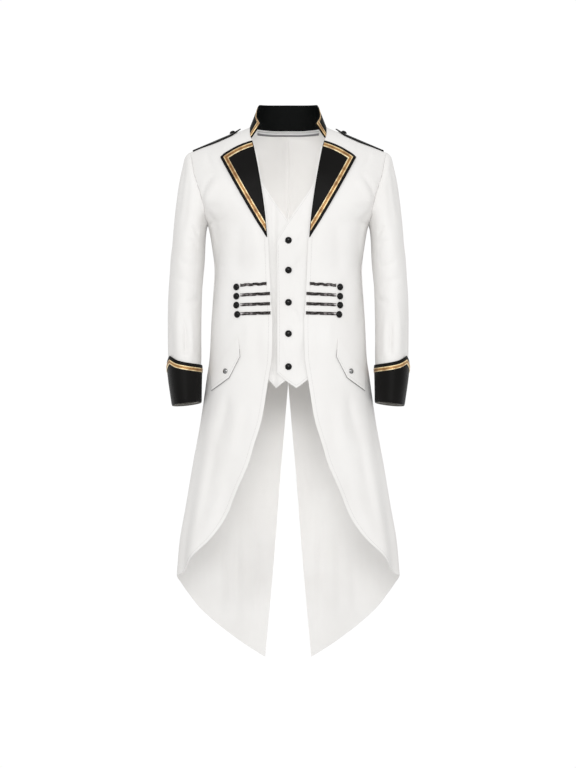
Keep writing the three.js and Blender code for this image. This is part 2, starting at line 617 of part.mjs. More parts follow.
function addCollar() {
  const shares = bothWays(COLLAR_SHARES);
  const grid = (lift) => COLLAR_LEVELS.map((up) => shares.map((s) => collarPoint(s, up, lift)));
  add("collar", slab(grid(NEARLY_ZERO), grid(-COLLAR_WALL)), black());
  const { length, height, foot } = COLLAR_FLAT;
  const edge = [
    ...COLLAR_SHARES.map((s) => new THREE.Vector2(s * length, height)),
    ...COLLAR_LEVELS.slice(1).map((up) => new THREE.Vector2(length, up * height)),
  ];
  const outline = [...edge.slice(1).reverse().map((p) => new THREE.Vector2(-p.x, p.y)), ...edge];
  const braid = (lift) => [0, 1].map((t) =>
    inset(outline, COLLAR_BRAID.margin + COLLAR_BRAID.width * t).map((p) =>
      collarPoint(p.x / length, Math.max(foot, p.y / height), TRIM_GAP + lift)));
  add("collar_braid", slab(braid(BRAID), braid(0)), gold());
}

// A path moved sideways by a distance, with mitred corners
function inset(path, distance) {
  return path.map((point, i) => {
    const before = point.clone().sub(path[Math.max(0, i - 1)]).normalize();
    const after = path[Math.min(path.length - 1, i + 1)].clone().sub(point).normalize();
    const first = i === 0 ? after : before;
    const second = i === path.length - 1 ? before : after;
    const normal = new THREE.Vector2(first.y + second.y, -(first.x + second.x)).normalize();
    const facing = new THREE.Vector2(first.y, -first.x);
    return point.clone().addScaledVector(normal, distance / normal.dot(facing));
  });
}

const lapelRollX = through(LAPEL_ROLL, "z", "x");

// Point in the lapel's outline: across from roll line to outer edge, down from top edge to tip
function lapelOutline(across, down) {
  const rollZ = lerp(LAPEL.top.z, LAPEL.tip.z, down);
  const bow = LAPEL.outerBulge * 4 * down * (1 - down);
  const outerX = lerp(LAPEL.point.x, LAPEL.tip.x + LAPEL.tipWidth, down) + bow;
  const outerZ = lerp(LAPEL.point.z, LAPEL.tip.z - LAPEL.tipDrop, down);
  const bulge = LAPEL.topBulge * 4 * across * (1 - across) * (1 - down);
  return { x: lerp(lapelRollX(rollZ), outerX, across), z: lerp(rollZ, outerZ, across) + bulge };
}

function lapelLift(x, z) {
  return LAID_GAP + LAPEL.lift * smoothstep((x - lapelRollX(z)) / LAPEL.liftReach);
}

function addLapels() {
  const rows = spread(0, 1, LAPEL_GRID.down);
  const grid = (lift) => rows.map((down) => spread(0, 1, LAPEL_GRID.across).map((across) => {
    const { x, z } = lapelOutline(across, down);
    return frontPoint(x, z, lapelLift(x, z) + lift);
  }));
  const path = [
    ...spread(0, 1, LAPEL_GRID.braidTop).map((across) => lapelOutline(across, 0)),
    ...spread(0, LAPEL_BRAID.end, LAPEL_GRID.braidSide).slice(1).map((down) => lapelOutline(1, down)),
  ].map((p) => new THREE.Vector2(p.x, p.z));
  const braid = (lift) => [0, 1].map((t) =>
    inset(path, LAPEL_BRAID.margin + LAPEL_BRAID.width * t).map((p) =>
      frontPoint(p.x, p.y, lapelLift(p.x, p.y) + TRIM_CLOTH + LAID_GAP + lift)));
  for (const side of SIDES) {
    addSlab(`lapel_${side.name}`, grid(TRIM_CLOTH), grid(0), side.sign, black());
    addSlab(`lapel_braid_${side.name}`, braid(BRAID), braid(0), side.sign, gold());
  }
}

function vestTopZ(x) {
  return VEST.apexZ + (x >= 0 ? VEST.neckSlope * x : VEST.lapSlope * x);
}

// Half of the waistcoat front; x runs from its lapped edge outwards
function vestGrids(columns, hem, lift) {
  const hemZ = (x) => {
    const i = hem.findIndex((row, k) => k + 1 < hem.length && x <= hem[k + 1].x);
    return lerp(hem[i].z, hem[i + 1].z, (x - hem[i].x) / (hem[i + 1].x - hem[i].x));
  };
  const make = (depth) => spread(0, 1, VEST_ROWS).map((t) => columns.map((x) => {
    const z = lerp(vestTopZ(x), hemZ(x), t);
    const seat = smoothstep((x - VEST.seatX) / VEST.seatReach);
    return frontPoint(x, z, lerp(lift, VEST.seatLift, seat) - depth);
  }));
  return { outer: make(0), inner: make(VEST.wall) };
}

function addVest() {
  const left = vestGrids(VEST_COLUMNS.left, VEST_HEM.left, VEST.lift);
  addSlab("waistcoat_left", left.outer, left.inner, 1, white());
  const right = vestGrids(VEST_COLUMNS.right, VEST_HEM.right, VEST.underLift);
  addSlab("waistcoat_right", right.outer, right.inner, -1, white());
}

function addBands() {
  const band = (row, lift) => [0.5, -0.5].map((edge) => spread(0, 1, BAND_COLUMNS).map((t) => {
    const z = lerp(row.innerZ, row.outerZ, t) + edge * BAND.width;
    return frontPoint(lerp(row.innerX, BAND.outerX, t), z, LAID_GAP + lift);
  }));
  for (const side of SIDES) {
    BANDS.forEach((row, i) => {
      addSlab(`band_${side.name}_${i + 1}`, band(row, BAND.thick), band(row, 0), side.sign, bandDark());
    });
  }
}

function along(points, t) {
  const steps = points.length - 1;
  const i = Math.min(steps - 1, Math.floor(t * steps));
  const share = t * steps - i;
  return { x: lerp(points[i].x, points[i + 1].x, share), z: lerp(points[i].z, points[i + 1].z, share) };
}

function addFlaps() {
  const rows = spread(0, 1, FLAP_GRID.down);
  const grid = (lift) => rows.map((down) => spread(0, 1, FLAP_GRID.across).map((t) => {
    const top = along(FLAP.top, t);
    const low = along(FLAP.bottom, t);
    const stand = LAID_GAP + FLAP.stand * down;
    return frontPoint(lerp(top.x, low.x, down), lerp(top.z, low.z, down), stand + lift);
  }));
  for (const side of SIDES) {
    addSlab(`pocket_flap_${side.name}`, grid(TRIM_CLOTH), grid(0), side.sign, white());
  }
}

// Height of the yoke over a point of the plan, near the shoulder seam
function ridgeZ(x, y) {
  let high = shoulderZ(x);
  let low = high - YOKE_REACH;
  for (let i = 0; i < RIDGE_STEPS; i += 1) {
    const z = (high + low) / 2;
    const depth = Math.abs(bodyAt(angleAt(x, z), z, y < 0 ? -1 : 1).y);
    if (depth < Math.abs(y)) high = z;
    else low = z;
  }
  return (high + low) / 2;
}

// Shoulder strap lying across the shoulder seam, pointed at the neck end
function strapPoint(x, across, lift) {
  const width = STRAP.halfWidth * clamp01((x - STRAP.innerX + STRAP.bluntness) / STRAP.point);
  const narrowing = across < 0 ? STRAP.taper * smoothstep((x - STRAP.taperX) / STRAP.taperReach) : 0;
  const y = across * width * (1 - narrowing);
  const depth = frontDepth(shoulderZ(x)) * Math.cos(angleAt(x, shoulderZ(x)));
  const tip = STRAP.tipLift * smoothstep((STRAP.tipX - x) / STRAP.tipReach);
  const slope = (shoulderZ(x - 1) - shoulderZ(x + 1)) / 2;
  const up = new THREE.Vector3(slope, y / depth, 1).normalize();
  return new THREE.Vector3(x, y, ridgeZ(x, y)).addScaledVector(up, STRAP.lift + tip + lift);
}

function addStraps() {
  const shoulders = STRAP.innerX + STRAP.point;
  const stations = [
    ...spread(STRAP.innerX, shoulders, STRAP_GRID.point),
    ...spread(shoulders, STRAP.outerX, STRAP_GRID.body).slice(1),
  ];
  const across = spread(-1, 1, STRAP_GRID.across);
  const grid = (lift) => stations.map((x) => across.map((a) => strapPoint(x, a, lift)));
  for (const side of SIDES) {
    addSlab(`shoulder_strap_${side.name}`, grid(TRIM_CLOTH), grid(0), side.sign, black());
  }
}

// Domed button standing on a point of the cloth
function addButton(name, seat, direction, size, material) {
  const { radius, height } = size;
  const profile = [
    [0, 0], [radius * 0.9, 0], [radius, height * 0.25], [radius * 0.92, height * 0.6],
    [radius * 0.6, height * 0.92], [0, height],
  ].map(([x, y]) => new THREE.Vector2(x, y));
  const mesh = new THREE.Mesh(new THREE.LatheGeometry(profile, BUTTON_SEGMENTS), material);
  mesh.name = name;
  mesh.position.copy(seat);
  mesh.quaternion.setFromUnitVectors(new THREE.Vector3(0, 1, 0), direction.clone().normalize());
  group.add(mesh);
}

function addFrontButton(name, x, z, lift, size, material) {
  const seat = frontPoint(x, z, lift);
  const direction = frontPoint(x, z, lift + 1).sub(seat);
  addButton(name, seat, direction, size, material);
}

function addButtons() {
  VEST_BUTTONS.forEach((z, i) => {
    const name = `waistcoat_button_${i + 1}`;
    addFrontButton(name, VEST_BUTTON_X, z, VEST.lift + LAID_GAP, BUTTONS.vest, domeBlack());
  });
  for (const side of SIDES) {
    BANDS.forEach((row, i) => {
      const name = `band_button_${side.name}_${i + 1}`;
      addFrontButton(name, side.sign * row.buttonX, row.buttonZ, LAID_GAP, BUTTONS.band, domeBlack());
    });
    const { x, z } = FLAP.button;
    const flapLift = LAID_GAP + TRIM_CLOTH + FLAP.buttonLift;
    addFrontButton(`flap_button_${side.name}`, side.sign * x, z, flapLift, BUTTONS.flap, steel());
    const seat = strapPoint(STRAP.buttonX, 0, TRIM_CLOTH + STRAP.buttonGap);
    const above = strapPoint(STRAP.buttonX, 0, TRIM_CLOTH + STRAP.buttonGap + 1);
    for (const point of [seat, above]) point.x *= side.sign;
    addButton(`strap_button_${side.name}`, seat, above.sub(seat), BUTTONS.strap, domeBlack());
  }
}

// Tape over the neck seam inside the back
function addNeckTape() {
  const shares = spread(-1, 1, TAPE_COLUMNS);
  const grid = (depth) => [0, 1].map((t) => shares.map((s) => {
    const x = Math.abs(s) * TAPE.halfWidth;
    const z = backNeckZ(x) - TAPE.drop - TAPE.height * t;
    const point = bodyPoint(x, z, 1, TAPE.lift - depth);
    return s < 0 ? point.setX(-point.x) : point;
  }));
  add("neck_tape", slab(grid(0), grid(TAPE.wall)), tape());
}

addBody();
addSleeves();
addCuffs();
addCollar();
addNeckTape();
addLapels();
addVest();
addBands();
addFlaps();
addStraps();
addButtons();

export default group;
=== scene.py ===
# White tailcoat with a sewn-in waistcoat front: fine cloth, trims, stitching and finishes.
# Sizes are millimetres until a mesh is made; +Z up, front towards -Y, the wearer's left towards +X.
import math

import bpy
import numpy as np
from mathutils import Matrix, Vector


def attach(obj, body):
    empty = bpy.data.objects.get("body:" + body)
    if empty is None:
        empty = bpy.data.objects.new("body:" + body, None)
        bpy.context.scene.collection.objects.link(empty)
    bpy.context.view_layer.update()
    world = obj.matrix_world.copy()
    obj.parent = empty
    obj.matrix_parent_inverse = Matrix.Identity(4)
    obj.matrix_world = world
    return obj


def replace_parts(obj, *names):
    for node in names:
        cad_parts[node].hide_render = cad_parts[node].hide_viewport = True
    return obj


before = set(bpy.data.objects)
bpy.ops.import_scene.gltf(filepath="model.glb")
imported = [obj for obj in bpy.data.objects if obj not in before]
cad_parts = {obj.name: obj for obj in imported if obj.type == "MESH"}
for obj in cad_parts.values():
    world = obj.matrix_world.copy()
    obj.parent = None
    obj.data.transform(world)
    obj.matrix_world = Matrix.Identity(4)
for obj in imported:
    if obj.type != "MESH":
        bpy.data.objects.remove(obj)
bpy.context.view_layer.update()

MM = 0.001
# Walls, and the gaps between pieces at a seam, at the armhole, under laid pieces and under braids
CLOTH = 1.6
TRIM_CLOTH = 2.0
LEAST_WALL = 0.3
DEEPEST = 0.8  # of a wall's thickness that an edge or groove may be pressed in
SEAM_GAP = 0.12
ARMHOLE_GAP = 0.2
SLEEVE_SEAM_GAP = 0.05  # degrees
LAID_GAP = 0.4
COLLAR_RISE = 0.6
TRIM_GAP = 0.3
SIDES = (("left", 1), ("right", -1))

# Camera: level with the middle of the coat, as far off as a studio allows
PHOTO_WIDTH, PHOTO_HEIGHT = 576, 768
MM_PER_PIXEL = 2.36
ORIGIN_PIXEL = (288.2, 131)
CAMERA_DISTANCE = 6.0
SENSOR = 36.0

# Lights: name, place, target, size and watts, in metres
MIDDLE = (0, 0, -0.55)
LIGHTS = [
    ("front", (0.1, -3.2, 0.4), MIDDLE, 1.2, 36),
    ("key", (-2.4, -4.4, 1.6), MIDDLE, 0.9, 26),
    ("fill", (3.6, -2.4, 0.2), MIDDLE, 1.8, 11),
    ("inside_neck", (0, -0.04, -0.36), (0, 0.14, -0.14), 0.16, 0.29),
    ("under_tails", (0, -0.45, -1.35), (0, 0.13, -0.95), 0.3, 0.36),
    ("inside_skirt", (0, -0.06, -0.86), (0, 0.13, -0.84), 0.14, 0.1),
]
ROOM_LIGHT, SCREEN_LIGHT = 0.74, 1.02
SCREEN_EDGE, SCREEN_START = 0.35, 0.7

# Stitches, with the distance of each kind of row from its edge
STITCH_PITCH, STITCH_LENGTH, STITCH_RADIUS = 3.4, 2.5, 0.4
STITCH_SIDES, STITCH_RAISED, STITCH_SUNK = 6, 0.25, 0.1
EDGE_STITCH, HEM_STITCH, NARROW_STITCH = 9, 16, 6

# Edges of a grid: its axis, and whether distances count from the far end
GRID_EDGES = {"top": (0, False), "bottom": (0, True), "start": (1, False), "end": (1, True)}
# Angles between faces that stay sharp, and the small steps that find which way a surface faces
CLOTH_SHARP, STRIP_SHARP, STITCH_SHARP = 50, 60, 80
ANGLE_STEP, HEIGHT_STEP, COLLAR_STEP = 0.004, 0.5, 0.01

# Points down and across each piece
YOKE_ROWS, SKIRT_STEP, HEM_STEPS, TAIL_ROWS = 40, 8, 8, 34
FRONT_COLUMNS, BACK_COLUMNS = 64, 80
NECK_COLUMN_SHARE, BACK_CROWDING = 0.4, 0.95
CAP_ROWS, SLEEVE_ROWS, UPPER_COLUMNS, UNDER_COLUMNS = 44, 74, 110, 50
CUFF_ROWS, CUFF_COLUMNS = 22, (20, 16, 16, 20)
COLLAR_ROWS, COLLAR_COLUMNS = 26, 161
TAPE_ROWS, TAPE_COLUMNS = 9, 121
LAPEL_ROWS, LAPEL_COLUMNS = 90, 50
VEST_ROWS, VEST_COLUMNS = 130, 12
BAND_ROWS, BAND_COLUMNS = 15, 70
FLAP_ROWS, FLAP_COLUMNS = 40, 61
STRAP_POINT_ROWS, STRAP_ROWS, STRAP_COLUMNS = 16, 50, 33
# Points across a braid and along each of its legs, along a fine curve and round half a cuff
BRAID_POINTS, FINE_POINTS, ROUND_POINTS = 13, 500, 361
CUFF_LEGS, COLLAR_LEGS, LAPEL_LEGS = (36, 60), (30, 150, 30), (60, 130)
# Rows and columns that stitches leave out at the ends of an edge
CORNER_COLUMNS, VENT_END_ROWS, LAP_END_ROWS = 2, 4, 8
COLLAR_STITCH_POINTS = 120
RIDGE_HALVINGS, BUTTON_TURNS = 34, 40

# Rolled edges, by reach and depth, and narrow grooves, by depth and half width
FRONT_ROLLS = {"start": (3.0, 0.5), "end": (2.0, 0.4)}
BACK_ROLLS = {"start": (2.0, 0.7), "bottom": (2.5, 0.5), "end": (2.0, 0.4)}
SLEEVE_ROLLS = {"start": (2.0, 0.3), "end": (2.0, 0.3), "top": (2.0, 0.3)}
CUFF_ROLLS = {"top": (2.5, 0.8), "bottom": (3.0, 0.9)}
LAPEL_ROLLS = {"end": (2.4, 0.8), "top": (2.4, 0.8), "start": (6, 1.4)}
VEST_ROLLS = {"top": (2.5, 0.6), "bottom": (2.5, 0.6), "start": (2.5, 0.6)}
SEAM_ROLL, COLLAR_EDGE, FLAP_EDGE, STRAP_EDGE = (3.5, 1.3), (2.2, 0.8), (2.6, 1.0), (2.4, 0.9)
VEST_GROOVE, FLAP_GROOVE = (0.25, 1.0), (0.3, 1.0)
WAVE_SCALE = 0.314  # of Blender's wave texture, for one thread in each pitch


def table(columns, rows):
    """A short table with named columns, as arrays."""
    return dict(zip(columns.split(), np.array(rows, float).T))


# The body: half width, depth in front and behind, and how square each section is
BODY = table("z width front back square", [
    (40, 240, 84, 94, 2.4),
    (5, 240, 86, 94, 2.4),
    (-50, 240, 97, 94, 2.4),
    (-110, 239, 111, 108, 2.4),
    (-160, 233, 119, 118, 2.4),
    (-185, 220, 122, 121, 2.4),
    (-201, 205.5, 123, 121, 2.4),
    (-212, 197, 124, 121, 2.4),
    (-220, 191.5, 124, 120, 2.4),
    (-224, 189.2, 124, 120, 2.4),
    (-270, 180.5, 122, 111, 2.35),
    (-330, 174, 115, 101, 2.3),
    (-400, 178, 113, 105, 2.3),
    (-446, 181, 114, 112, 2.3),
    (-531, 185, 117, 124, 2.25),
    (-583, 192, 119, 130, 2.2),
    (-680, 206, 120, 138, 2.15),
    (-779, 224, 118, 146, 2.1),
    (-885, 242, 114, 154, 2.1),
    (-972, 257, 110, 160, 2.1),
    (-1048, 263.5, 106, 165, 2.1),
    (-1150, 272, 100, 172, 2.1),
    (-1270, 280, 95, 180, 2.1),
])
SHOULDER = table("x z", [
    (0, 40), (30, 36), (60, 24), (90, 8.85), (130, -8.1), (180, -29.3), (233.5, -52), (300, -80.2),
])
YOKE_REACH = 150
ARMHOLE_CALM = 16
ARMHOLE = table("z x", [
    (-52, 233.5), (-57, 230), (-75, 226), (-99, 221.5), (-130, 214.5), (-160, 207), (-185, 200.5),
    (-201, 196), (-212, 192.5), (-220, 190), (-224, 189.2),
])
ARMHOLE_TOP_Z, ARMPIT_Z = -52, -224
SHOULDER_TIP_X = 233.5
NECK_POINT = (90, 8.85)
FRONT_EDGE = table("z x", [
    (8.85, 90), (-5, 90), (-22.3, 87), (-47.5, 76), (-120, 63.6), (-204.5, 50.4), (-263, 46.5),
    (-403, 40.2), (-449, 36.8), (-532, 38.2), (-585, 46), (-611, 50), (-678, 61), (-735, 78.4),
    (-776, 90.5), (-851, 123.5), (-896, 143), (-946, 174.5), (-1003, 222), (-1038, 253),
])
FRONT_HEM = table("inner outer", [
    (-950, -950), (-985, -992), (-1012, -1022), (-1030, -1040), (-1038, -1048),
])
BACK_NECK = table("x z", [(0, 4.5), (30, 4.3), (60, 5.2), (80, 7), (90, 8.85)])
VENT_TOP_Z, VENT_BLEND = -596, 20
# Inside the back: the seam allowance pressed open, and the line of the facing below the neck
ALLOWANCE, ALLOWANCE_THICK = 8, 0.5
FACING_DROP, FACING_LINE, FACING_END_X = 27, 1.4, 100
VENT = table("z x", [
    (-596, 0), (-716, 10), (-805, 17.8), (-910, 25.8), (-1022, 34.6), (-1260, 55.6),
])
TAIL_HEM = table("angle z", [
    (10.6, -1260), (19, -1234), (28.4, -1204.5), (39, -1172.5), (50.3, -1136), (62, -1097.5), (76, -1068),
    (90, -1048),
])
TAIL_LEVEL, TAIL_TIP_Z = -1000, -1260
# Large folds: angle from the centre front, half width, how far out, where they start, are full and fade
FOLDS = [
    (63, 6, -5, -100, -165, -290),
    (38, 9, -7, -560, -1000, -2000),
    (56, 8, 8, -600, -1000, -2000),
    (74, 8, -7, -640, -1020, -2000),
    (104, 9, -2, -520, -1020, -2000),
    (122, 9, 1.5, -480, -1040, -2000),
    (141, 9, -3, -560, -1100, -2000),
    (161, 8, 6, -500, -1080, -2000),
]
# How a crease tapers at its ends, how far past them it runs, and how it widens along its length
CREASE_START, CREASE_END, CREASE_PAST = 0.35, 0.45, 0.25
CREASE_NARROW, CREASE_WIDENING = 0.75, 0.5
# Creases on the fronts and the back: ends (x, z), half width, depth (out is positive) and bow
FRONT_CREASES = table("x0 z0 x1 z1 wide out bow", [
    (170, -108, 206, -182, 5.5, -4.5, 10),
    (158, -120, 194, -196, 9, 3.2, 9),
    (152, -184, 196, -176, 6, -2.6, -5),
    (140, -206, 188, -214, 7, -2.0, -6),
    (192, -50, 166, -108, 8, -2.2, 5),
    (150, -32, 138, -84, 9, 1.4, 4),
    (108, -224, 116, -352, 13, -2.8, 5),
    (84, -196, 76, -348, 14, 1.8, -4),
    (136, -228, 142, -356, 13, 1.8, 5),
    (60, -222, 54, -318, 7, -2.2, 3),
    (164, -262, 170, -470, 9, -2.6, 6),
    (70, -446, 64, -600, 12, -2.0, 4),
    (96, -446, 102, -540, 10, 1.6, -4),
    (132, -356, 150, -468, 12, -1.8, -5),
    (140, -618, 176, -752, 12, -4.0, -4),
    (170, -730, 222, -968, 14, -4.4, -6),
    (116, -640, 164, -840, 16, 3.6, -6),
    (92, -640, 110, -760, 12, -1.8, 4),
    (150, -820, 196, -952, 14, 3.0, -5),
    (188, -640, 214, -800, 10, -2.4, 4),
])
BACK_CREASES = table("x0 z0 x1 z1 wide out bow", [
    (206, -176, 168, -108, 6, -4.2, 10),
    (194, -196, 156, -116, 9, 2.8, 9),
    (186, -214, 120, -196, 9, -2.4, 7),
    (176, -262, 92, -238, 11, -2.0, 7),
    (60, -40, 118, -96, 13, -1.8, 6),
    (168, -300, 70, -322, 9, -2.6, 8),
    (172, -336, 96, -348, 8, -2.2, -6),
    (170, -372, 58, -392, 10, -2.2, 7),
    (40, -250, 26, -420, 14, 1.8, 5),
    (110, -420, 132, -600, 15, -2.6, 6),
    (66, -470, 72, -700, 16, 2.4, -6),
    (150, -520, 176, -760, 14, 2.8, 6),
    (120, -930, 122, -1180, 13, -4.8, 5),
    (86, -900, 80, -1220, 13, 4.2, -5),
    (60, -960, 62, -1200, 9, -2.4, 4),
    (204, -980, 200, -1110, 13, 3.6, 5),
    (164, -990, 166, -1160, 12, -3.8, -5),
    (100, -700, 112, -900, 15, -2.6, 6),
    (40, -760, 56, -980, 12, 2.2, -5),
])
SLEEVE = table("z x y across deep", [
    (-262, 234, 0, 39, 74),
    (-310, 238, 0, 41, 73),
    (-385, 242.5, 0, 40.5, 71),
    (-450, 243.8, -2, 40.2, 69),
    (-531, 243.8, -10, 39.3, 65),
    (-560, 243.6, -14, 38.3, 63),
    (-660, 237.6, -26, 31.6, 57),
])
SLEEVE_TOP_Z = -262
SLEEVE_SEAMS = (125, 238)
CAP_FULLNESS, CAP_DROP = 0.62, 0.1
# How full the cap is, and at which rows; the parts near its seam and above the cuff stay calm
CAP_PUFF, PUFF_ROW, PUFF_SPREAD, CALM_ROWS = 2.2, 7, 5, 10
CUFF_CALM, CUFF_CALM_REACH = 14, 30
SLEEVE_FIRST_ANGLE = -60
SLEEVE_END_Z, SLEEVE_SLOPE_X, SLEEVE_SLOPE_Y = -641, -0.12, -0.07
# Creases on the sleeve, round it in degrees (about a millimetre each) and by height
SLEEVE_CREASES = table("x0 z0 x1 z1 wide out bow", [
    (92, -446, 96, -560, 9, -5.4, 4),
    (70, -412, 76, -560, 12, 2.4, -4),
    (114, -440, 116, -560, 11, 2.2, 4),
    (52, -352, 128, -376, 7, -2.6, 7),
    (66, -306, 132, -322, 7, -2.2, -6),
    (82, -262, 128, -276, 6, -2.4, 5),
    (96, -228, 126, -250, 6, -2.6, 4),
    (96, -404, 150, -392, 8, -2.4, -6),
    (24, -78, 40, -210, 12, -2.2, 7),
    (58, -112, 70, -246, 12, -2.2, 6),
    (-30, -84, -46, -220, 12, -2.2, -7),
    (-8, -240, -4, -390, 16, -1.8, 5),
    (238, -236, 282, -262, 8, -2.4, 6),
    (232, -330, 292, -352, 9, -2.6, -7),
    (228, -372, 276, -390, 8, -2.2, 6),
    (268, -420, 262, -580, 10, -2.8, 5),
    (300, -300, 312, -470, 14, 1.8, 6),
    (34, -440, 38, -560, 12, -1.8, 5),
    (180, -330, 186, -520, 12, -2.0, 4),
])
# Cuffs: how far they stand off the sleeve, their pointed top edge, and the lining turned in below
CUFF_BOTTOM_CLEARANCE, CUFF_TOP_CLEARANCE = 0.8, 2.0
CUFF_EDGE = table("angle z", [(0, -551), (37.5, -531), (75, -543), (120, -549), (180, -553)])
CUFF_PEAK_ANGLE, CUFF_PEAK_Z = 37.5, -531
CUFF_BELOW_SLEEVE = 3.5
CUFF_SPLIT = 0.2
TURNED_THIN, TURNED_THICK, TURNED_GAP, TURNED_UP = 0.4, 0.9, 0.25, 17
# Collar: its top edge from the middle of the back (0) to the front end (1)
COLLAR = table("share x y z", [
    (0, 0, 51, 66), (0.3, 44, 42, 65), (0.62, 68.5, 13, 63), (0.85, 74.5, -17, 36), (1, 63.8, -53, 11.7),
])
COLLAR_WALL, COLLAR_LENGTH, COLLAR_HEIGHT = 2.4, 150, 62
COLLAR_FRONT_Z = -22.3
NECK_BACK_SHARE = 0.7
# Lapels: from the roll line over the point and down to the tip
LAPEL_TOP_Z, LAPEL_TIP = -28.5, (48.5, -257)
LAPEL_POINT = (157.4, -69.3)
LAPEL_TIP_WIDTH, LAPEL_TIP_DROP = 1.6, 0.5
LAPEL_TOP_BULGE, LAPEL_OUTER_BULGE, LAPEL_LIFT, LAPEL_LIFT_REACH = 5, 2.5, 3, 60
LAPEL_ROLL = table("z x", [(-28.5, 84), (-47.5, 78.8), (-204.5, 53.2), (-257, 48.5)])
# Braids: distance from the edge and width, and the height of their flat parts
LAPEL_BRAID, COLLAR_BRAID, CUFF_BRAID = (6.5, 9.5), (3, 6.5), (8, 9.5)
ROLL_MARGIN = 1.2
BRAID_FLAT, BAND_FLAT = 0.55, 0.7
# Their cords: middles and half width as shares of the width, and height
BRAID_CORDS = ((0.14, 0.86), 0.14, 0.6)
BAND_CORDS = ((-0.33, 0, 0.33), 0.17, 0.5)
# The collar's braid sinks in at the front ends; its stitches run inside, near the top
BRAID_LOWEST, BRAID_SUNK, SUNK_FROM, SUNK_REACH = 0.02, 0.3, 0.82, 0.12
COLLAR_STITCH_END, COLLAR_STITCH_UP = 0.97, 0.9
# Waistcoat front: the neckline, then how far each half lies behind the face of the fronts
VEST_APEX_Z, VEST_NECK_SLOPE, VEST_LAP_SLOPE = -219.6, 1.449, 1.63
VEST_LIFT, VEST_UNDER_LIFT, VEST_SEAT_LIFT, VEST_WALL = -4.5, -6.5, -3.1, 1.4
VEST_HEM_LEFT = table("x z", [(-26, -572), (-5, -590), (19, -606.7), (47, -586), (88, -574)])
VEST_HEM_RIGHT = table("x z", [(-8, -590), (5, -588), (29, -606.7), (47, -586), (88, -574)])
VEST_SEAT_X, VEST_SEAT_REACH = 34, 28
VEST_DIP, VEST_DIP_X, VEST_DIP_WIDE = 5, 33, 8
VEST_CREASES = table("x0 z0 x1 z1 wide out bow", [
    (40, -150, 8, -250, 9, -1.8, 5),
    (30, -236, -6, -286, 8, 1.6, 4),
    (34, -300, 6, -392, 9, -2.0, -6),
    (20, -390, 32, -500, 9, 1.8, 5),
    (8, -420, 26, -470, 7, -2.4, 5),
    (-12, -470, 10, -560, 8, 1.5, -4),
    (34, -500, 22, -590, 8, -1.8, 4),
])
VEST_BUTTONS = (-264.7, -333.3, -407.8, -480.3, -556.7)
VEST_BUTTON_X, VEST_BUTTON_GAP = 0.6, 0.5
# Bands on the fronts, each with its button
BANDS = table("inner_x inner_z outer_z button_z button_x", [
    (50, -364.5, -367.5, -371.5, 120.2),
    (42, -387.5, -390.5, -393, 120.2),
    (42, -411, -413, -413.7, 120.2),
    (41, -432.5, -434, -435.4, 118),
])
BAND_OUTER_X, BAND_WIDTH = 111, 7.4
BAND_TWIST = (0.7, 0.2, 0.12, 0.1)
BAND_WAVES, BAND_CALM, BAND_NARROWING = 3, 0.2, 0.2
# Pocket flaps: top and lower edge
FLAP_TOP = table("x z", [(115.3, -490.4), (180.5, -577)])
FLAP_LOW = table("x z", [(111.3, -533.8), (136.3, -582.2), (177, -611.8)])
FLAP_BUTTON = (144, -567.3)
FLAP_STAND = 2.5
FLAP_BUTTON_UP = 0.75
# Grey strip below the flap's lower edge, a painted shadow of the flap: the share of the length that shows,
# where it starts, and its two faces
SHADOW_STRIP_SHARE, SHADOW_STRIP_TOP, SHADOW_STRIP_START, SHADOW_STRIP_REACH = 0.03, 0.6, 0.25, 0.5
SHADOW_STRIP_CORNER, SHADOW_STRIP_CORNER_POWER, SHADOW_STRIP_FACES = 0.8, 8, (0.9, 0.3)
# Shoulder straps: ends, half width and length of the point, then how they lift, taper and close
STRAP_OUTER_X, STRAP_INNER_X, STRAP_HALF, STRAP_POINT = 224, 110, 21, 24
STRAP_BLUNTNESS = 3
STRAP_LIFT, STRAP_TIP_LIFT, STRAP_TIP_X, STRAP_TIP_REACH = 0.95, 4, 140, 40
STRAP_TAPER, STRAP_TAPER_X, STRAP_TAPER_REACH = 0.6, 160, 64
STRAP_BUTTON_X, STRAP_BUTTON_GAP = 130, 0.3
# Buttons: radius and height, and the profile as shares of both
VEST_BUTTON, BAND_BUTTON, FLAP_BUTTON_SIZE, STRAP_BUTTON = (7.8, 5), (7.9, 5), (6.2, 3.5), (7, 5)
BUTTON_PROFILE = [
    (0, 0), (0.86, 0), (0.97, 0.1), (1.0, 0.24), (0.975, 0.38), (0.9, 0.46), (0.86, 0.5), (0.8, 0.62),
    (0.68, 0.78), (0.5, 0.9), (0.28, 0.98), (0, 1),
]
# Tape inside the neck
TAPE_HALF, TAPE_HEIGHT, TAPE_DROP, TAPE_LIFT, TAPE_WALL = 74, 9, 1.2, -2.6, 1


def lerp(a, b, t):
    return a + (b - a) * t


def smoothstep(t):
    t = np.clip(t, 0, 1)
    return t * t * (3 - 2 * t)


def bell(value, middle, wide):
    """1 at the middle, fading to nothing on both sides."""
    return np.exp(-(((value - middle) / wide) ** 2))


def unit(v):
    return v / np.maximum(1e-9, np.linalg.norm(v, axis=-1, keepdims=True))


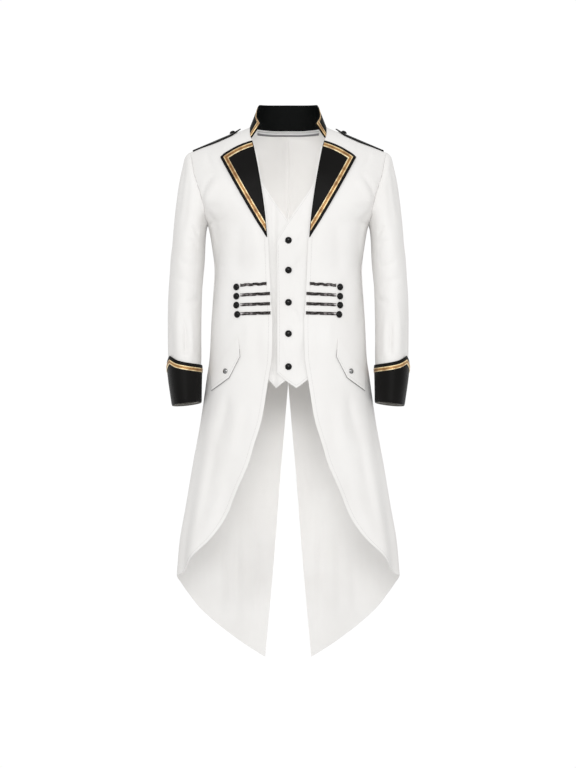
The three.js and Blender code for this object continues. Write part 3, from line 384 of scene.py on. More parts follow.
def through(rows, key, value):
    """Smooth curve through a table that never overshoots its rows."""
    order = np.argsort(rows[key])
    xs, ys = rows[key][order], rows[value][order]
    slope = np.diff(ys) / np.diff(xs)
    tangent = np.empty_like(ys)
    tangent[0], tangent[-1] = slope[0], slope[-1]
    product = slope[:-1] * slope[1:]
    safe = np.where(product > 0, slope[:-1] + slope[1:], 1)
    tangent[1:-1] = np.where(product > 0, 2 * product / safe, 0)

    def curve(x):
        at = np.clip(x, xs[0], xs[-1])
        i = np.clip(np.searchsorted(xs, at, side="right") - 1, 0, len(xs) - 2)
        h = xs[i + 1] - xs[i]
        t = (at - xs[i]) / h
        rise = ys[i] * (1 + 2 * t) * (1 - t) ** 2 + ys[i + 1] * t * t * (3 - 2 * t)
        return rise + h * (tangent[i] * t * (1 - t) ** 2 - tangent[i + 1] * t * t * (1 - t))

    return curve


half_width, front_depth, back_depth, squareness = (
    through(BODY, "z", column) for column in ("width", "front", "back", "square"))
sleeve_x, sleeve_y, sleeve_across, sleeve_deep = (
    through(SLEEVE, "z", column) for column in ("x", "y", "across", "deep"))
collar_top = [through(COLLAR, "share", axis) for axis in ("x", "y", "z")]
shoulder_z = through(SHOULDER, "x", "z")
armhole_x = through(ARMHOLE, "z", "x")
front_edge_x = through(FRONT_EDGE, "z", "x")
vent_x = through(VENT, "z", "x")
back_neck_z = through(BACK_NECK, "x", "z")
tail_hem_z = through(TAIL_HEM, "angle", "z")
lapel_roll_x = through(LAPEL_ROLL, "z", "x")
cuff_wing_z = through({key: rows[1:] for key, rows in CUFF_EDGE.items()}, "angle", "z")


# Surface of the body
def angle_at(x, z):
    share = np.clip(x / half_width(z), 0, 1)
    return np.arcsin(share ** (squareness(z) / 2))


def yoke_share(x, z):
    drop = np.clip((shoulder_z(x) - z) / YOKE_REACH, 0, 1)
    return np.sqrt(np.maximum(0, 1 - (1 - drop) ** 2))


def fold_out(degrees, z):
    out = 0
    for angle, wide, rise, start, full, fade in FOLDS:
        along = smoothstep((start - z) / (start - full))
        fading = 1 - smoothstep((full - z) / (full - fade))
        out = out + rise * along * fading * bell(degrees, angle, wide)
    return out


def body_at(angle, z, facing):
    """Outer face of the coat, facing -1 for the front half and 1 for the back half."""
    power = 2 / squareness(z)
    sin, cos = np.sin(angle), np.maximum(0, np.cos(angle))
    x = half_width(z) * sin ** power
    depth = front_depth(z) if facing < 0 else back_depth(z)
    depth = depth * cos ** power * yoke_share(x, z)
    degrees = np.degrees(angle)
    fold = fold_out(degrees if facing < 0 else 180 - degrees, z)
    return np.stack([x + fold * sin, facing * (depth + fold * cos + SEAM_GAP / 2), z + 0 * x], axis=-1)


def crease_out(creases, x, z):
    """Height of the listed creases at a point of the cloth."""
    out = np.zeros(np.broadcast(x, z).shape)
    for x0, z0, x1, z1, wide, rise, bow in zip(*creases.values()):
        length = math.hypot(x1 - x0, z1 - z0)
        ax, az = (x1 - x0) / length, (z1 - z0) / length
        along = ((x - x0) * ax + (z - z0) * az) / length
        side = -(x - x0) * az + (z - z0) * ax - bow * 4 * along * (1 - along)
        taper = smoothstep(along / CREASE_START + CREASE_PAST)
        taper = taper * smoothstep((1 - along) / CREASE_END + CREASE_PAST)
        width = wide * (CREASE_NARROW + CREASE_WIDENING * np.clip(along, 0, 1))
        out += rise * taper * bell(side, 0, width)
    return out


def body_face(angle, z, facing, lift=0.0):
    """Creased outer face, moved out by lift and calm near the armhole."""
    point = body_at(angle, z, facing)
    low, high = np.maximum(0, angle - ANGLE_STEP), np.minimum(math.pi / 2, angle + ANGLE_STEP)
    across = body_at(high, z, facing) - body_at(low, z, facing)
    up = body_at(angle, z + HEIGHT_STEP, facing) - body_at(angle, z - HEIGHT_STEP, facing)
    normal = np.cross(across, up) if facing < 0 else np.cross(up, across)
    creases = FRONT_CREASES if facing < 0 else BACK_CREASES
    inside = np.where(z > ARMPIT_Z, armhole_x(z) - point[..., 0], ARMHOLE_CALM)
    rise = crease_out(creases, point[..., 0], z) * smoothstep(inside / ARMHOLE_CALM)
    return point + unit(normal) * (rise + lift)[..., None]


def half_point(x, z, facing, lift):
    """Creased outer face at (x, z) of either side."""
    x, z = np.broadcast_arrays(np.asarray(x, float), np.asarray(z, float))
    point = body_face(angle_at(np.abs(x), z), z, facing, lift + 0 * z)
    point[..., 0] = np.where(x < 0, -point[..., 0], point[..., 0])
    return point


def front_point(x, z, lift=0.0):
    return half_point(x, z, -1, lift)


# Grids of points
def mirrored(grid, sign):
    return grid * np.array([sign, 1, 1])


def grid_normals(grid, turn=1):
    down = np.gradient(grid, axis=0)
    across = np.gradient(grid, axis=1)
    return unit(np.cross(across, down)) * turn


def away_along(path):
    """Distance along a path at each of its points."""
    return np.concatenate([[0], np.cumsum(np.linalg.norm(np.diff(path, axis=0), axis=1))])


def resampled(path, away, at):
    return np.stack([np.interp(at, away, path[:, k]) for k in range(path.shape[1])], axis=-1)


def evenly(path, count):
    """A path cut again into equal lengths."""
    away = away_along(path)
    return resampled(path, away, np.linspace(0, away[-1], count))


def from_edge(grid, edge):
    """Distance in millimetres from the top, bottom, start or end of a grid."""
    axis, far = GRID_EDGES[edge]
    steps = np.linalg.norm(np.diff(grid, axis=axis), axis=-1)
    if far:
        steps = np.flip(steps, axis)
    total = np.cumsum(steps, axis=axis)
    total = np.concatenate([np.zeros_like(np.take(total, [0], axis=axis)), total], axis=axis)
    return np.flip(total, axis) if far else total


def nearest_edge(grid, *edges):
    return np.minimum.reduce([from_edge(grid, edge) for edge in edges])


def edge_roll(distance, reach, depth):
    """How far a folded edge rounds down near its end."""
    return depth * np.clip(1 - distance / reach, 0, 1) ** 2


def rolled(grid, edges):
    """How far the edges of a piece round down, each named with its reach and depth."""
    return sum(edge_roll(from_edge(grid, edge), *roll) for edge, roll in edges.items())


def stitch_groove(distance, at, depth=0.35, wide=1.2):
    return depth * bell(distance, at, wide)


def pressed(grid, normal, dent, thick):
    """A face pressed in, leaving part of the wall's thickness."""
    return grid - normal * np.minimum(dent, thick * DEEPEST)[..., None]


def seam_line(grid, normals, edge, distance, keep=slice(None)):
    """The line at a distance from one edge of a grid, and the cloth's normals along it."""
    axis = GRID_EDGES[edge][0]
    values = np.concatenate([grid, normals, from_edge(grid, edge)[..., None]], axis=-1)
    made = []
    for row in np.moveaxis(values, axis, 1)[keep]:
        row = row[np.argsort(row[:, 6])]
        made.append([np.interp(distance, row[:, 6], row[:, k]) for k in range(6)])
    made = np.array(made)
    return made[:, :3], made[:, 3:]


# Meshes
def finish_mesh(name, points, faces, uvs, material, sharp=50):
    mesh = bpy.data.meshes.new(name)
    mesh.from_pydata((np.asarray(points) * MM).tolist(), [], faces)
    layer = mesh.uv_layers.new(name="cut")
    loops = np.empty(len(mesh.loops), dtype=np.int32)
    mesh.loops.foreach_get("vertex_index", loops)
    layer.data.foreach_set("uv", np.asarray(uvs)[loops].astype(np.float32).ravel())
    mesh.shade_smooth()
    mesh.set_sharp_from_angle(angle=math.radians(sharp))
    mesh.materials.append(material)
    obj = bpy.data.objects.new(name, mesh)
    bpy.context.scene.collection.objects.link(obj)
    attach(obj, "root")
    return obj


def small_mesh(name, points, faces, sign, material, sharp=50):
    """A mesh from lists of points and faces, mirrored for the right side."""
    points = mirrored(np.array(points), sign)
    if sign < 0:
        faces = [face[::-1] for face in faces]
    return finish_mesh(name, points, faces, points[:, [0, 2]] * MM, material, sharp)


def cut_uv(grid, strip):
    """Metres across and down the cloth, or down a strip from 0 to 1."""
    u = np.cumsum(np.linalg.norm(np.diff(grid, axis=1, prepend=grid[:, :1]), axis=-1), axis=1)
    v = np.cumsum(np.linalg.norm(np.diff(grid, axis=0, prepend=grid[:1]), axis=-1), axis=0)
    uv = np.stack([u, v], axis=-1) * MM
    if strip:
        uv[..., 1] = np.linspace(0, 1, len(grid))[:, None]
    return uv.reshape(-1, 2)


def wall(name, outer, inner, material, sign=1, strip=False):
    """Closed cloth wall between two grids of points with the same rows and columns."""
    outer, inner = mirrored(outer, sign), mirrored(inner, sign)
    rows, columns = outer.shape[:2]
    high = np.arange(rows * columns).reshape(rows, columns)
    low = high + rows * columns
    corners = [
        (high[:-1, :-1], high[1:, :-1], high[1:, 1:], high[:-1, 1:]),
        (low[:-1, :-1], low[:-1, 1:], low[1:, 1:], low[1:, :-1]),
        (high[:-1, 0], low[:-1, 0], low[1:, 0], high[1:, 0]),
        (high[:-1, -1], high[1:, -1], low[1:, -1], low[:-1, -1]),
        (high[0, :-1], high[0, 1:], low[0, 1:], low[0, :-1]),
        (high[-1, :-1], low[-1, :-1], low[-1, 1:], high[-1, 1:]),
    ]
    faces = np.concatenate([np.stack(four, axis=-1).reshape(-1, 4) for four in corners])
    points = np.concatenate([outer.reshape(-1, 3), inner.reshape(-1, 3)])
    a, b, c, d = (points[faces[:, k]] for k in range(4))
    volume = (a * np.cross(b, c)).sum() + (a * np.cross(c, d)).sum()
    if volume < 0:
        faces = faces[:, ::-1]
    uv = cut_uv(outer, strip)
    sharp = STRIP_SHARP if strip else CLOTH_SHARP
    return finish_mesh(name, points, faces.tolist(), np.concatenate([uv, uv]), material, sharp)


def add_piece(name, stands_for, outer, inner, material, slot, sign=1, strip=False, **sheet):
    """A wall in place of a solid; what it is as a sheet of cloth is not used."""
    piece = wall(name, outer, inner, material, sign, strip)
    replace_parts(piece, stands_for)


def stitch_run(name, seam, sign=1, material=None):
    """A row of raised stitches along a line on the cloth."""
    line, normals = seam
    away = away_along(line)
    turns = [2 * math.pi * k / STITCH_SIDES for k in range(STITCH_SIDES)]
    points, faces = [], []
    for i in range(int(away[-1] / STITCH_PITCH)):
        middle = (i + 0.5) * STITCH_PITCH
        start, centre, end = resampled(line, away, middle + np.array([-0.5, 0, 0.5]) * STITCH_LENGTH)
        up = unit(resampled(normals, away, middle))
        side = unit(np.cross(end - start, up))
        first = len(points)
        points.append(start - up * STITCH_SUNK)
        for a in turns:
            outward = side * math.cos(a) + up * (math.sin(a) + STITCH_RAISED)
            points.append(centre + STITCH_RADIUS * outward)
        points.append(end - up * STITCH_SUNK)
        for k in range(STITCH_SIDES):
            a, b = first + 1 + k, first + 1 + (k + 1) % STITCH_SIDES
            faces += [(first, b, a), (first + 1 + STITCH_SIDES, a, b)]
    small_mesh(name, points, faces, sign, material or thread, STITCH_SHARP)


# Materials
def set_inputs(tree, made, inputs):
    """Each input gets a value, or is joined to another node's output."""
    for key, value in inputs.items():
        if isinstance(value, bpy.types.NodeSocket):
            tree.links.new(value, made.inputs[key])
        else:
            made.inputs[key].default_value = value


def node(tree, kind, inputs, **settings):
    made = tree.nodes.new(kind)
    for key, value in settings.items():
        setattr(made, key, value)
    set_inputs(tree, made, inputs)
    return made


def material(name, colour, roughness, metallic=0.0, sheen=0.0, specular=0.5, coat=0.0):
    mat = bpy.data.materials.new(name)
    mat.use_nodes = True
    tree = mat.node_tree
    shader = tree.nodes["Principled BSDF"]
    set_inputs(tree, shader, {
        "Base Color": (*colour, 1), "Roughness": roughness, "Metallic": metallic,
        "Sheen Weight": sheen, "Sheen Roughness": 0.5, "Specular IOR Level": specular, "Coat Weight": coat,
    })
    return mat, tree, shader, tree.nodes.new("ShaderNodeTexCoord")


def wave(tree, vector, direction, scale, distortion, detail=2):
    return node(tree, "ShaderNodeTexWave", {
        "Vector": vector, "Scale": scale, "Distortion": distortion, "Detail": detail,
    }, wave_type="BANDS", bands_direction=direction).outputs["Fac"]


def maths(tree, operation, a, b):
    return node(tree, "ShaderNodeMath", {0: a, 1: b}, operation=operation).outputs[0]


def weave_height(tree, coords, pitch):
    """Over-and-under threads from two crossed waves on the cut's own coordinates."""
    uv, scale = coords.outputs["UV"], WAVE_SCALE / pitch
    across, along = (wave(tree, uv, direction, scale, 0.4, 1) for direction in "XY")
    return maths(tree, "MULTIPLY", across, along)


def noise(tree, vector, scale, detail):
    made = node(tree, "ShaderNodeTexNoise", {"Vector": vector, "Scale": scale, "Detail": detail})
    return made.outputs["Fac"]


def stretched(tree, coords, scale):
    made = node(tree, "ShaderNodeMapping", {"Vector": coords.outputs["UV"], "Scale": scale})
    return made.outputs["Vector"]


def uv_part(tree, coords, axis):
    return node(tree, "ShaderNodeSeparateXYZ", {"Vector": coords.outputs["UV"]}).outputs[axis]


def ramp(tree, factor, stops):
    made = node(tree, "ShaderNodeValToRGB", {"Fac": factor})
    while len(made.color_ramp.elements) < len(stops):
        made.color_ramp.elements.new(0.5)
    for element, (position, colour) in zip(made.color_ramp.elements, stops):
        element.position = position
        element.color = (*colour, 1)
    return made.outputs["Color"]


def shaded(tree, colour, shade, amount):
    return node(tree, "ShaderNodeMix", {0: amount, 6: colour, 7: shade}, data_type="RGBA",
                blend_type="MULTIPLY").outputs[2]


def bump(tree, shader, height, strength, distance, below=None):
    inputs = {"Strength": strength, "Distance": distance, "Height": height}
    if below is not None:
        inputs["Normal"] = below
    normal = node(tree, "ShaderNodeBump", inputs).outputs["Normal"]
    set_inputs(tree, shader, {"Normal": normal})
    return normal


def cloth_material(name, light, dark, roughness, pitch, sheen, specular):
    """Woven cloth, slightly uneven in colour, shine and flatness."""
    mat, tree, shader, coords = material(name, light, roughness, sheen=sheen, specular=specular)
    place = coords.outputs["Object"]
    shine = node(tree, "ShaderNodeMapRange", {
        "Value": noise(tree, place, 40, 2), "To Min": roughness - 0.06, "To Max": roughness + 0.06,
    }).outputs["Result"]
    colour = ramp(tree, noise(tree, place, 9, 4), [(0.3, dark), (0.7, light)])
    set_inputs(tree, shader, {"Base Color": colour, "Roughness": shine})
    fine = bump(tree, shader, weave_height(tree, coords, pitch), 0.25, 0.00025)
    bump(tree, shader, noise(tree, place, 28, 4), 0.35, 0.0006, fine)
    return mat


def gold_material():
    """Woven braid: light raised cords along both edges and a darker flat middle, with painted highlights on
    the cords' crests and painted shade where the cords meet the middle.
    """
    mat, tree, shader, coords = material("gold_braid", (0.8, 0.55, 0.2), 0.33, metallic=0.45)
    light, pale, white_light = (0.92, 0.63, 0.27), (1.0, 0.87, 0.56), (1, 1, 1)
    middle, dark = (0.52, 0.28, 0.09), (0.32, 0.15, 0.05)
    # Across the braid: pale on the cords' crests is painted highlight, dark where they meet the middle is
    # painted shade
    across = ramp(tree, uv_part(tree, coords, "Y"), [
        (0.0, light), (0.12, pale), (0.24, light), (0.32, dark), (0.5, middle), (0.68, dark), (0.76, light),
        (0.88, pale),
    ])
    twist = wave(tree, stretched(tree, coords, (1, 0.008, 1)), "DIAGONAL", 260, 1.2)
    # Darker where the twist's bump is low: painted shade in the grooves between twisted threads
    threads = ramp(tree, twist, [(0.0, (0.5, 0.42, 0.34)), (0.6, white_light)])
    # Dark patches from noise: painted reflections on the metal braid
    patches = noise(tree, coords.outputs["Object"], 55, 2)
    reflection_patches = ramp(tree, patches, [(0.4, (0.45, 0.34, 0.27)), (0.56, white_light)])
    colour = shaded(tree, shaded(tree, across, threads, 0.35), reflection_patches, 0.8)
    set_inputs(tree, shader, {"Base Color": colour})
    bump(tree, shader, twist, 0.5, 0.0003)
    return mat


def band_material():
    """Dark braid with painted glints in streaks for its metal threads, paler at its outer end."""
    base = (0.03, 0.025, 0.024)
    mat, tree, shader, coords = material("dark_band", base, 0.36, metallic=0.25, specular=0.3)
    streaks = noise(tree, stretched(tree, coords, (75, 1.6, 1)), 1, 3)
    paler = node(tree, "ShaderNodeMapRange", {
        "Value": uv_part(tree, coords, "X"), "From Min": 0.03, "From Max": 0.07,
        "To Min": 0.0, "To Max": 0.075,
    }).outputs["Result"]
    # Painted glints: the streaks and the paler outer end lift the near-black into pale greys
    colour = ramp(tree, maths(tree, "ADD", streaks, paler), [
        (0.0, (0.003, 0.002, 0.002)), (0.49, (0.008, 0.005, 0.004)), (0.58, (0.08, 0.066, 0.066)),
        (0.7, (0.55, 0.53, 0.53)),
    ])
    set_inputs(tree, shader, {"Base Color": colour})
    bump(tree, shader, wave(tree, coords.outputs["UV"], "X", 220, 0.6), 0.6, 0.0004)
    return mat


def tape_material():
    """Narrow grey tape, darker along its top, with painted shade along its lower edge."""
    top, grey, dark = (0.4, 0.4, 0.4), (0.6, 0.6, 0.6), (0.16, 0.16, 0.165)
    mat, tree, shader, coords = material("neck_tape", grey, 0.7, sheen=0.1, specular=0.3)
    down = maths(tree, "DIVIDE", uv_part(tree, coords, "Y"), TAPE_HEIGHT * MM)
    # Down the tape: darker at the top, then grey, then painted shade along the lower edge
    colour = ramp(tree, down, [(0.0, top), (0.2, grey), (0.62, grey), (0.74, dark)])
    set_inputs(tree, shader, {"Base Color": colour})
    bump(tree, shader, weave_height(tree, coords, 0.0012), 0.3, 0.0003)
    return mat


def button_material(name, grey, roughness, metallic):
    """Smooth button, a little scuffed."""
    mat, tree, shader, coords = material(name, [grey] * 3, roughness, metallic, specular=0.16, coat=0.015)
    scuffs = noise(tree, coords.outputs["Object"], 420, 3)
    colour = ramp(tree, scuffs, [(0.35, [grey] * 3), (0.75, [grey * 1.9 + 0.004] * 3)])
    set_inputs(tree, shader, {"Base Color": colour})
    bump(tree, shader, scuffs, 0.12, 0.0002)
    return mat


# Each cloth: light and dark colour, roughness, pitch of the weave in metres, sheen and shine
white = cloth_material("white_cloth", (0.80, 0.79, 0.775), (0.765, 0.752, 0.735), 0.78, 0.0007, 0.12, 0.25)
# Grey thread, darker than the white cloth: painted shade that draws the shadow lines along stitched edges
thread = cloth_material("white_thread", (0.5, 0.49, 0.475), (0.42, 0.41, 0.4), 0.6, 0.0004, 0.1, 0.3)
satin = cloth_material(
    "black_satin", (0.0082, 0.0077, 0.0074), (0.005, 0.0047, 0.0044), 0.42, 0.0005, 0.0, 0.06)
# The black satin made darker and duller for the collar: painted shade
collar_satin = cloth_material(
    "collar_satin", (0.005, 0.0056, 0.0054), (0.0026, 0.003, 0.0029), 0.5, 0.0005, 0.0, 0.04)
lining = cloth_material("cuff_lining", (0.2, 0.19, 0.17), (0.12, 0.115, 0.105), 0.6, 0.0005, 0.05, 0.2)
# Grey cloth of the strip below each flap: painted shadow of the flap's lower edge
flap_shadow_strip = cloth_material(
    "flap_shadow_strip", (0.3, 0.29, 0.285), (0.24, 0.235, 0.23), 0.7, 0.0005, 0.05, 0.2)
tape_cloth = tape_material()
gold = gold_material()
dark_band = band_material()
black_button = button_material("black_button", 0.0025, 0.2, 0.0)
steel_button = button_material("steel_button", 0.2, 0.25, 0.9)


# Fronts and backs
def yoke_drop(i):
    return 1 - math.cos(i / YOKE_ROWS * math.pi / 2)


def skirt_levels(lowest):
    return np.linspace(ARMPIT_Z, lowest, round((ARMPIT_Z - lowest) / SKIRT_STEP) + 1)


def front_rows():
    """Heights of each row at the front edge and at the side."""
    drops = [yoke_drop(i) for i in range(YOKE_ROWS)]
    rows = [(lerp(NECK_POINT[1], ARMPIT_Z, drop), lerp(ARMHOLE_TOP_Z, ARMPIT_Z, drop)) for drop in drops]
    inner, outer = FRONT_HEM["inner"], FRONT_HEM["outer"]
    rows += [(z, z) for z in skirt_levels(inner[0])]
    for k in range(len(inner) - 1):
        shares = [j / HEM_STEPS for j in range(1, HEM_STEPS + 1)]
        rows += [(lerp(inner[k], inner[k + 1], t), lerp(outer[k], outer[k + 1], t)) for t in shares]
    return np.array(rows)


def front_grid():
    rows = front_rows()
    inner, outer = rows[:, :1], rows[:, 1:]
    start_x = front_edge_x(inner)
    below = outer <= ARMPIT_Z
    end_x = np.where(below, half_width(outer), armhole_x(outer))
    start = angle_at(start_x, inner)
    end = np.where(below, math.pi / 2, angle_at(end_x, outer))
    t = np.linspace(0, 1, FRONT_COLUMNS + 1)[None]
    middle = lerp(inner, outer, t)
    x = half_width(middle) * np.sin(lerp(start, end, t)) ** (2 / squareness(middle))
    x[:, -1] = end_x[:, 0]
    share = np.clip((x - start_x) / (end_x - start_x), 0, 1)
    z = lerp(inner, outer, share)
    z[0] = shoulder_z(x[0])
    angle = angle_at(x, z)
    angle[:, -1] = end[:, 0]
    return body_face(angle, z, -1)


def back_grid():
    neck_columns = round(BACK_COLUMNS * NECK_COLUMN_SHARE)
    neck_x = NECK_POINT[0]
    c = np.arange(BACK_COLUMNS + 1)
    outward = np.clip((c - neck_columns) / (BACK_COLUMNS - neck_columns), 0, 1)
    rows = []
    for i in range(YOKE_ROWS):
        drop = yoke_drop(i)
        outer_z = lerp(ARMHOLE_TOP_Z, ARMPIT_Z, drop)
        end_x = float(armhole_x(outer_z))
        x = np.where(c <= neck_columns, neck_x * c / neck_columns, lerp(neck_x, end_x, outward))
        shoulder = shoulder_z(lerp(neck_x, SHOULDER_TIP_X, (x - neck_x) / (end_x - neck_x)))
        z = lerp(np.where(c <= neck_columns, back_neck_z(x), shoulder), ARMPIT_Z, drop)
        z[-1] = outer_z
        rows.append(body_face(angle_at(x, z), z, 1))
    levels = [(z, 0.0) for z in skirt_levels(TAIL_LEVEL)]
    levels += [(TAIL_LEVEL, i / TAIL_ROWS) for i in range(1, TAIL_ROWS + 1)]
    for level, hem in levels:
        centre_z = lerp(level, TAIL_TIP_Z, hem)
        start = float(angle_at(vent_x(centre_z), centre_z))
        angle = lerp(start, math.pi / 2, (c / BACK_COLUMNS) ** BACK_CROWDING)
        z = lerp(level, tail_hem_z(np.degrees(angle)), hem)
        rows.append(body_face(angle, z, 1))
    grid = np.stack(rows)
    grid[..., 0] += SEAM_GAP / 2
    return grid


def back_walls(back, normal):
    """Both faces of a back, with its seam, the vent, the hem and the facing's line inside."""
    centre, hem = from_edge(back, "start"), from_edge(back, "bottom")
    x, z = back[..., 0], back[..., 2]
    below_vent = smoothstep((VENT_TOP_Z - z) / VENT_BLEND)
    dent = rolled(back, BACK_ROLLS)
    dent += stitch_groove(centre, EDGE_STITCH) * below_vent + stitch_groove(hem, HEM_STITCH)
    below_neck = back_neck_z(np.minimum(x, NECK_POINT[0])) - z
    facing_line = bell(below_neck, FACING_DROP, FACING_LINE) * (x < FACING_END_X)
    seam = edge_roll(centre, *SEAM_ROLL) * (1 - below_vent) + 0.5 * stitch_groove(hem, HEM_STITCH)
    allowance = ALLOWANCE_THICK * (1 - smoothstep((centre - ALLOWANCE) / 2)) * (1 - below_vent)
    depth = np.maximum(CLOTH + allowance - seam - facing_line, dent + LEAST_WALL)
    return pressed(back, normal, dent, CLOTH), back - normal * depth[..., None]


def add_body():
    front, back = front_grid(), back_grid()
    front_normal, back_normal = grid_normals(front, -1), grid_normals(back)
    dent = rolled(front, FRONT_ROLLS)
    dent += stitch_groove(from_edge(front, "start"), EDGE_STITCH)
    front_outer = pressed(front, front_normal, dent, CLOTH)
    back_outer, back_inner = back_walls(back, back_normal)
    below_lapel = int(np.argmin(np.abs(front_rows()[:, 0] - LAPEL_TIP[1])))
    vent_row = int(np.argmin(np.abs(back_outer[:, 0, 2] - VENT_TOP_Z)))
    edge = seam_line(front_outer, front_normal, "start", EDGE_STITCH, slice(below_lapel, None))
    vent = seam_line(back_outer, back_normal, "start", EDGE_STITCH, slice(vent_row, -VENT_END_ROWS))
    hem = seam_line(back_outer, back_normal, "bottom", HEM_STITCH, slice(CORNER_COLUMNS, None))
    for side, sign in SIDES:
        add_piece(f"front_cloth_{side}", f"front_{side}", front_outer, front - front_normal * CLOTH, white,
                  "cloth", sign, flat=(0.23, 1.18), held="hung", area=0.187)
        add_piece(f"back_cloth_{side}", f"back_{side}", back_outer, back_inner, white, "cloth", sign,
                  flat=(0.38, 1.3), held="hung", area=0.314)
        stitch_run(f"front_edge_stitches_{side}", edge, sign)
        stitch_run(f"vent_stitches_{side}", vent, sign)
        stitch_run(f"tail_hem_stitches_{side}", hem, sign)


# Sleeves
def sleeve_section(degrees, z, spare=0.0):
    angle = np.radians(degrees)
    x = sleeve_x(z) + (sleeve_across(z) + spare) * np.cos(angle)
    y = sleeve_y(z) - (sleeve_deep(z) + spare) * np.sin(angle)
    return np.stack(np.broadcast_arrays(x, y, z), axis=-1)


def armhole_point(degrees):
    angle = np.radians(degrees)
    z = (ARMHOLE_TOP_Z + ARMPIT_Z) / 2 + (ARMHOLE_TOP_Z - ARMPIT_Z) / 2 * np.cos(angle)
    around = angle_at(armhole_x(z), z)
    front = np.sin(angle) >= 0
    return np.where(front[..., None], body_at(around, z, -1), body_at(around, z, 1))


def sleeve_end_z(degrees, extra=0.0):
    middle = sleeve_section(degrees, np.full(np.shape(degrees), float(SLEEVE_END_Z)))
    tilt_x = SLEEVE_SLOPE_X * (middle[..., 0] - sleeve_x(SLEEVE_END_Z))
    tilt_y = SLEEVE_SLOPE_Y * (middle[..., 1] - sleeve_y(SLEEVE_END_Z))
    return SLEEVE_END_Z + tilt_x + tilt_y - extra


def sleeve_grid(degrees):
    """The cap as one curve from the armhole, then straight sections to the wrist."""
    start = armhole_point(degrees)
    end = sleeve_section(degrees, np.full(degrees.shape, float(SLEEVE_TOP_Z)))
    control = lerp(start, end, np.array([CAP_FULLNESS, CAP_FULLNESS, CAP_DROP]))
    start = start + unit(control - start) * ARMHOLE_GAP
    t = np.linspace(0, 1, CAP_ROWS, endpoint=False)[:, None, None]
    cap = start * (1 - t) ** 2 + control * 2 * t * (1 - t) + end * t * t
    down = np.linspace(0, 1, SLEEVE_ROWS)[:, None]
    z = lerp(float(SLEEVE_TOP_Z), sleeve_end_z(degrees)[None], down)
    return np.concatenate([cap, sleeve_section(degrees[None], z)])


def sleeve_outer(degrees):
    """Outer face with its creases, calm near the armhole seam and the cuff, and full at the cap."""
    grid = sleeve_grid(degrees)
    normal = grid_normals(grid)
    turned = np.mod(degrees - SLEEVE_FIRST_ANGLE, 360) + SLEEVE_FIRST_ANGLE
    z = grid[..., 2]
    row = np.arange(len(grid))[:, None]
    calm = smoothstep(row / CALM_ROWS) * smoothstep((z - CUFF_PEAK_Z + CUFF_CALM) / CUFF_CALM_REACH)
    rise = crease_out(SLEEVE_CREASES, np.broadcast_to(turned, z.shape), z) * calm
    puff = CAP_PUFF * bell(row, PUFF_ROW, PUFF_SPREAD) * np.clip(np.cos(np.radians(degrees)), 0, 1)[None]
    return grid + normal * (rise + puff)[..., None], normal


def add_sleeves():
    front, back = SLEEVE_SEAMS
    pieces = (
        ("upper_sleeve", back - 360, front, UPPER_COLUMNS, (0.33, 0.61), 0.12),
        ("under_sleeve", front, back, UNDER_COLUMNS, (0.16, 0.47), 0.0525),
    )
    for piece_name, start, end, columns, flat, area in pieces:
        start, end = start + SLEEVE_SEAM_GAP, end - SLEEVE_SEAM_GAP
        step = (end - start) / columns
        degrees = np.linspace(start - step, end + step, columns + 3)
        outer, normal = (grid[:, 1:-1] for grid in sleeve_outer(degrees))
        inner = outer - normal * CLOTH
        dent = rolled(outer, SLEEVE_ROLLS)
        outer = pressed(outer, normal, dent, CLOTH)
        for side, sign in SIDES:
            add_piece(f"{piece_name}_cloth_{side}", f"{piece_name}_{side}", outer, inner, white, "cloth",
                      sign, flat=flat, held="hung", area=area)


# Braids
def cords(across, middles, wide, rise):
    """Height of round cords that lie side by side."""
    return sum(rise * np.sqrt(np.maximum(0, 1 - ((across - middle) / wide) ** 2)) for middle in middles)


BRAID_ACROSS = np.linspace(0, 1, BRAID_POINTS)
BRAID_HEIGHT = (BRAID_FLAT + cords(BRAID_ACROSS, *BRAID_CORDS))[:, None]


def beside(path, distance):
    """A smooth path moved sideways by a distance."""
    along = unit(np.gradient(path, axis=0))
    return path + np.stack([along[:, 1], -along[:, 0]], axis=-1) * distance


def mitred(first, second, counts):
    """Two crossing paths joined at the point where they meet."""
    apart = np.linalg.norm(first[:, None] - second[None], axis=-1)
    i, j = np.unravel_index(np.argmin(apart), apart.shape)
    corner = (first[i] + second[j])[None] / 2
    before = evenly(np.concatenate([first[:i], corner]), counts[0])
    after = evenly(np.concatenate([corner, second[j + 1:]]), counts[1])
    return np.concatenate([before, after[1:]])


# Cuffs
def cuff_edge_z(degrees):
    turned = np.abs(np.mod(degrees + 180, 360) - 180)
    outward = np.interp(turned, CUFF_EDGE["angle"], CUFF_EDGE["z"])
    return np.where(turned > CUFF_PEAK_ANGLE, cuff_wing_z(turned), outward)


def cuff_point(degrees, z, lift):
    low = sleeve_end_z(degrees, CUFF_BELOW_SLEEVE)
    up = np.clip((z - low) / (CUFF_PEAK_Z - low), 0, 1.2)
    return sleeve_section(degrees, z, lerp(CUFF_BOTTOM_CLEARANCE, CUFF_TOP_CLEARANCE, up ** 1.5) + lift)


def cuff_degrees():
    """Round the cuff, with points at the notch and the peaks."""
    half = [*CUFF_EDGE["angle"][:-1], 180 - CUFF_SPLIT]
    legs = zip(half, half[1:], CUFF_COLUMNS)
    parts = [np.linspace(a, b, count, endpoint=False) for a, b, count in legs]
    right = np.append(np.concatenate(parts), half[-1])
    return np.concatenate([-right[:0:-1], right])


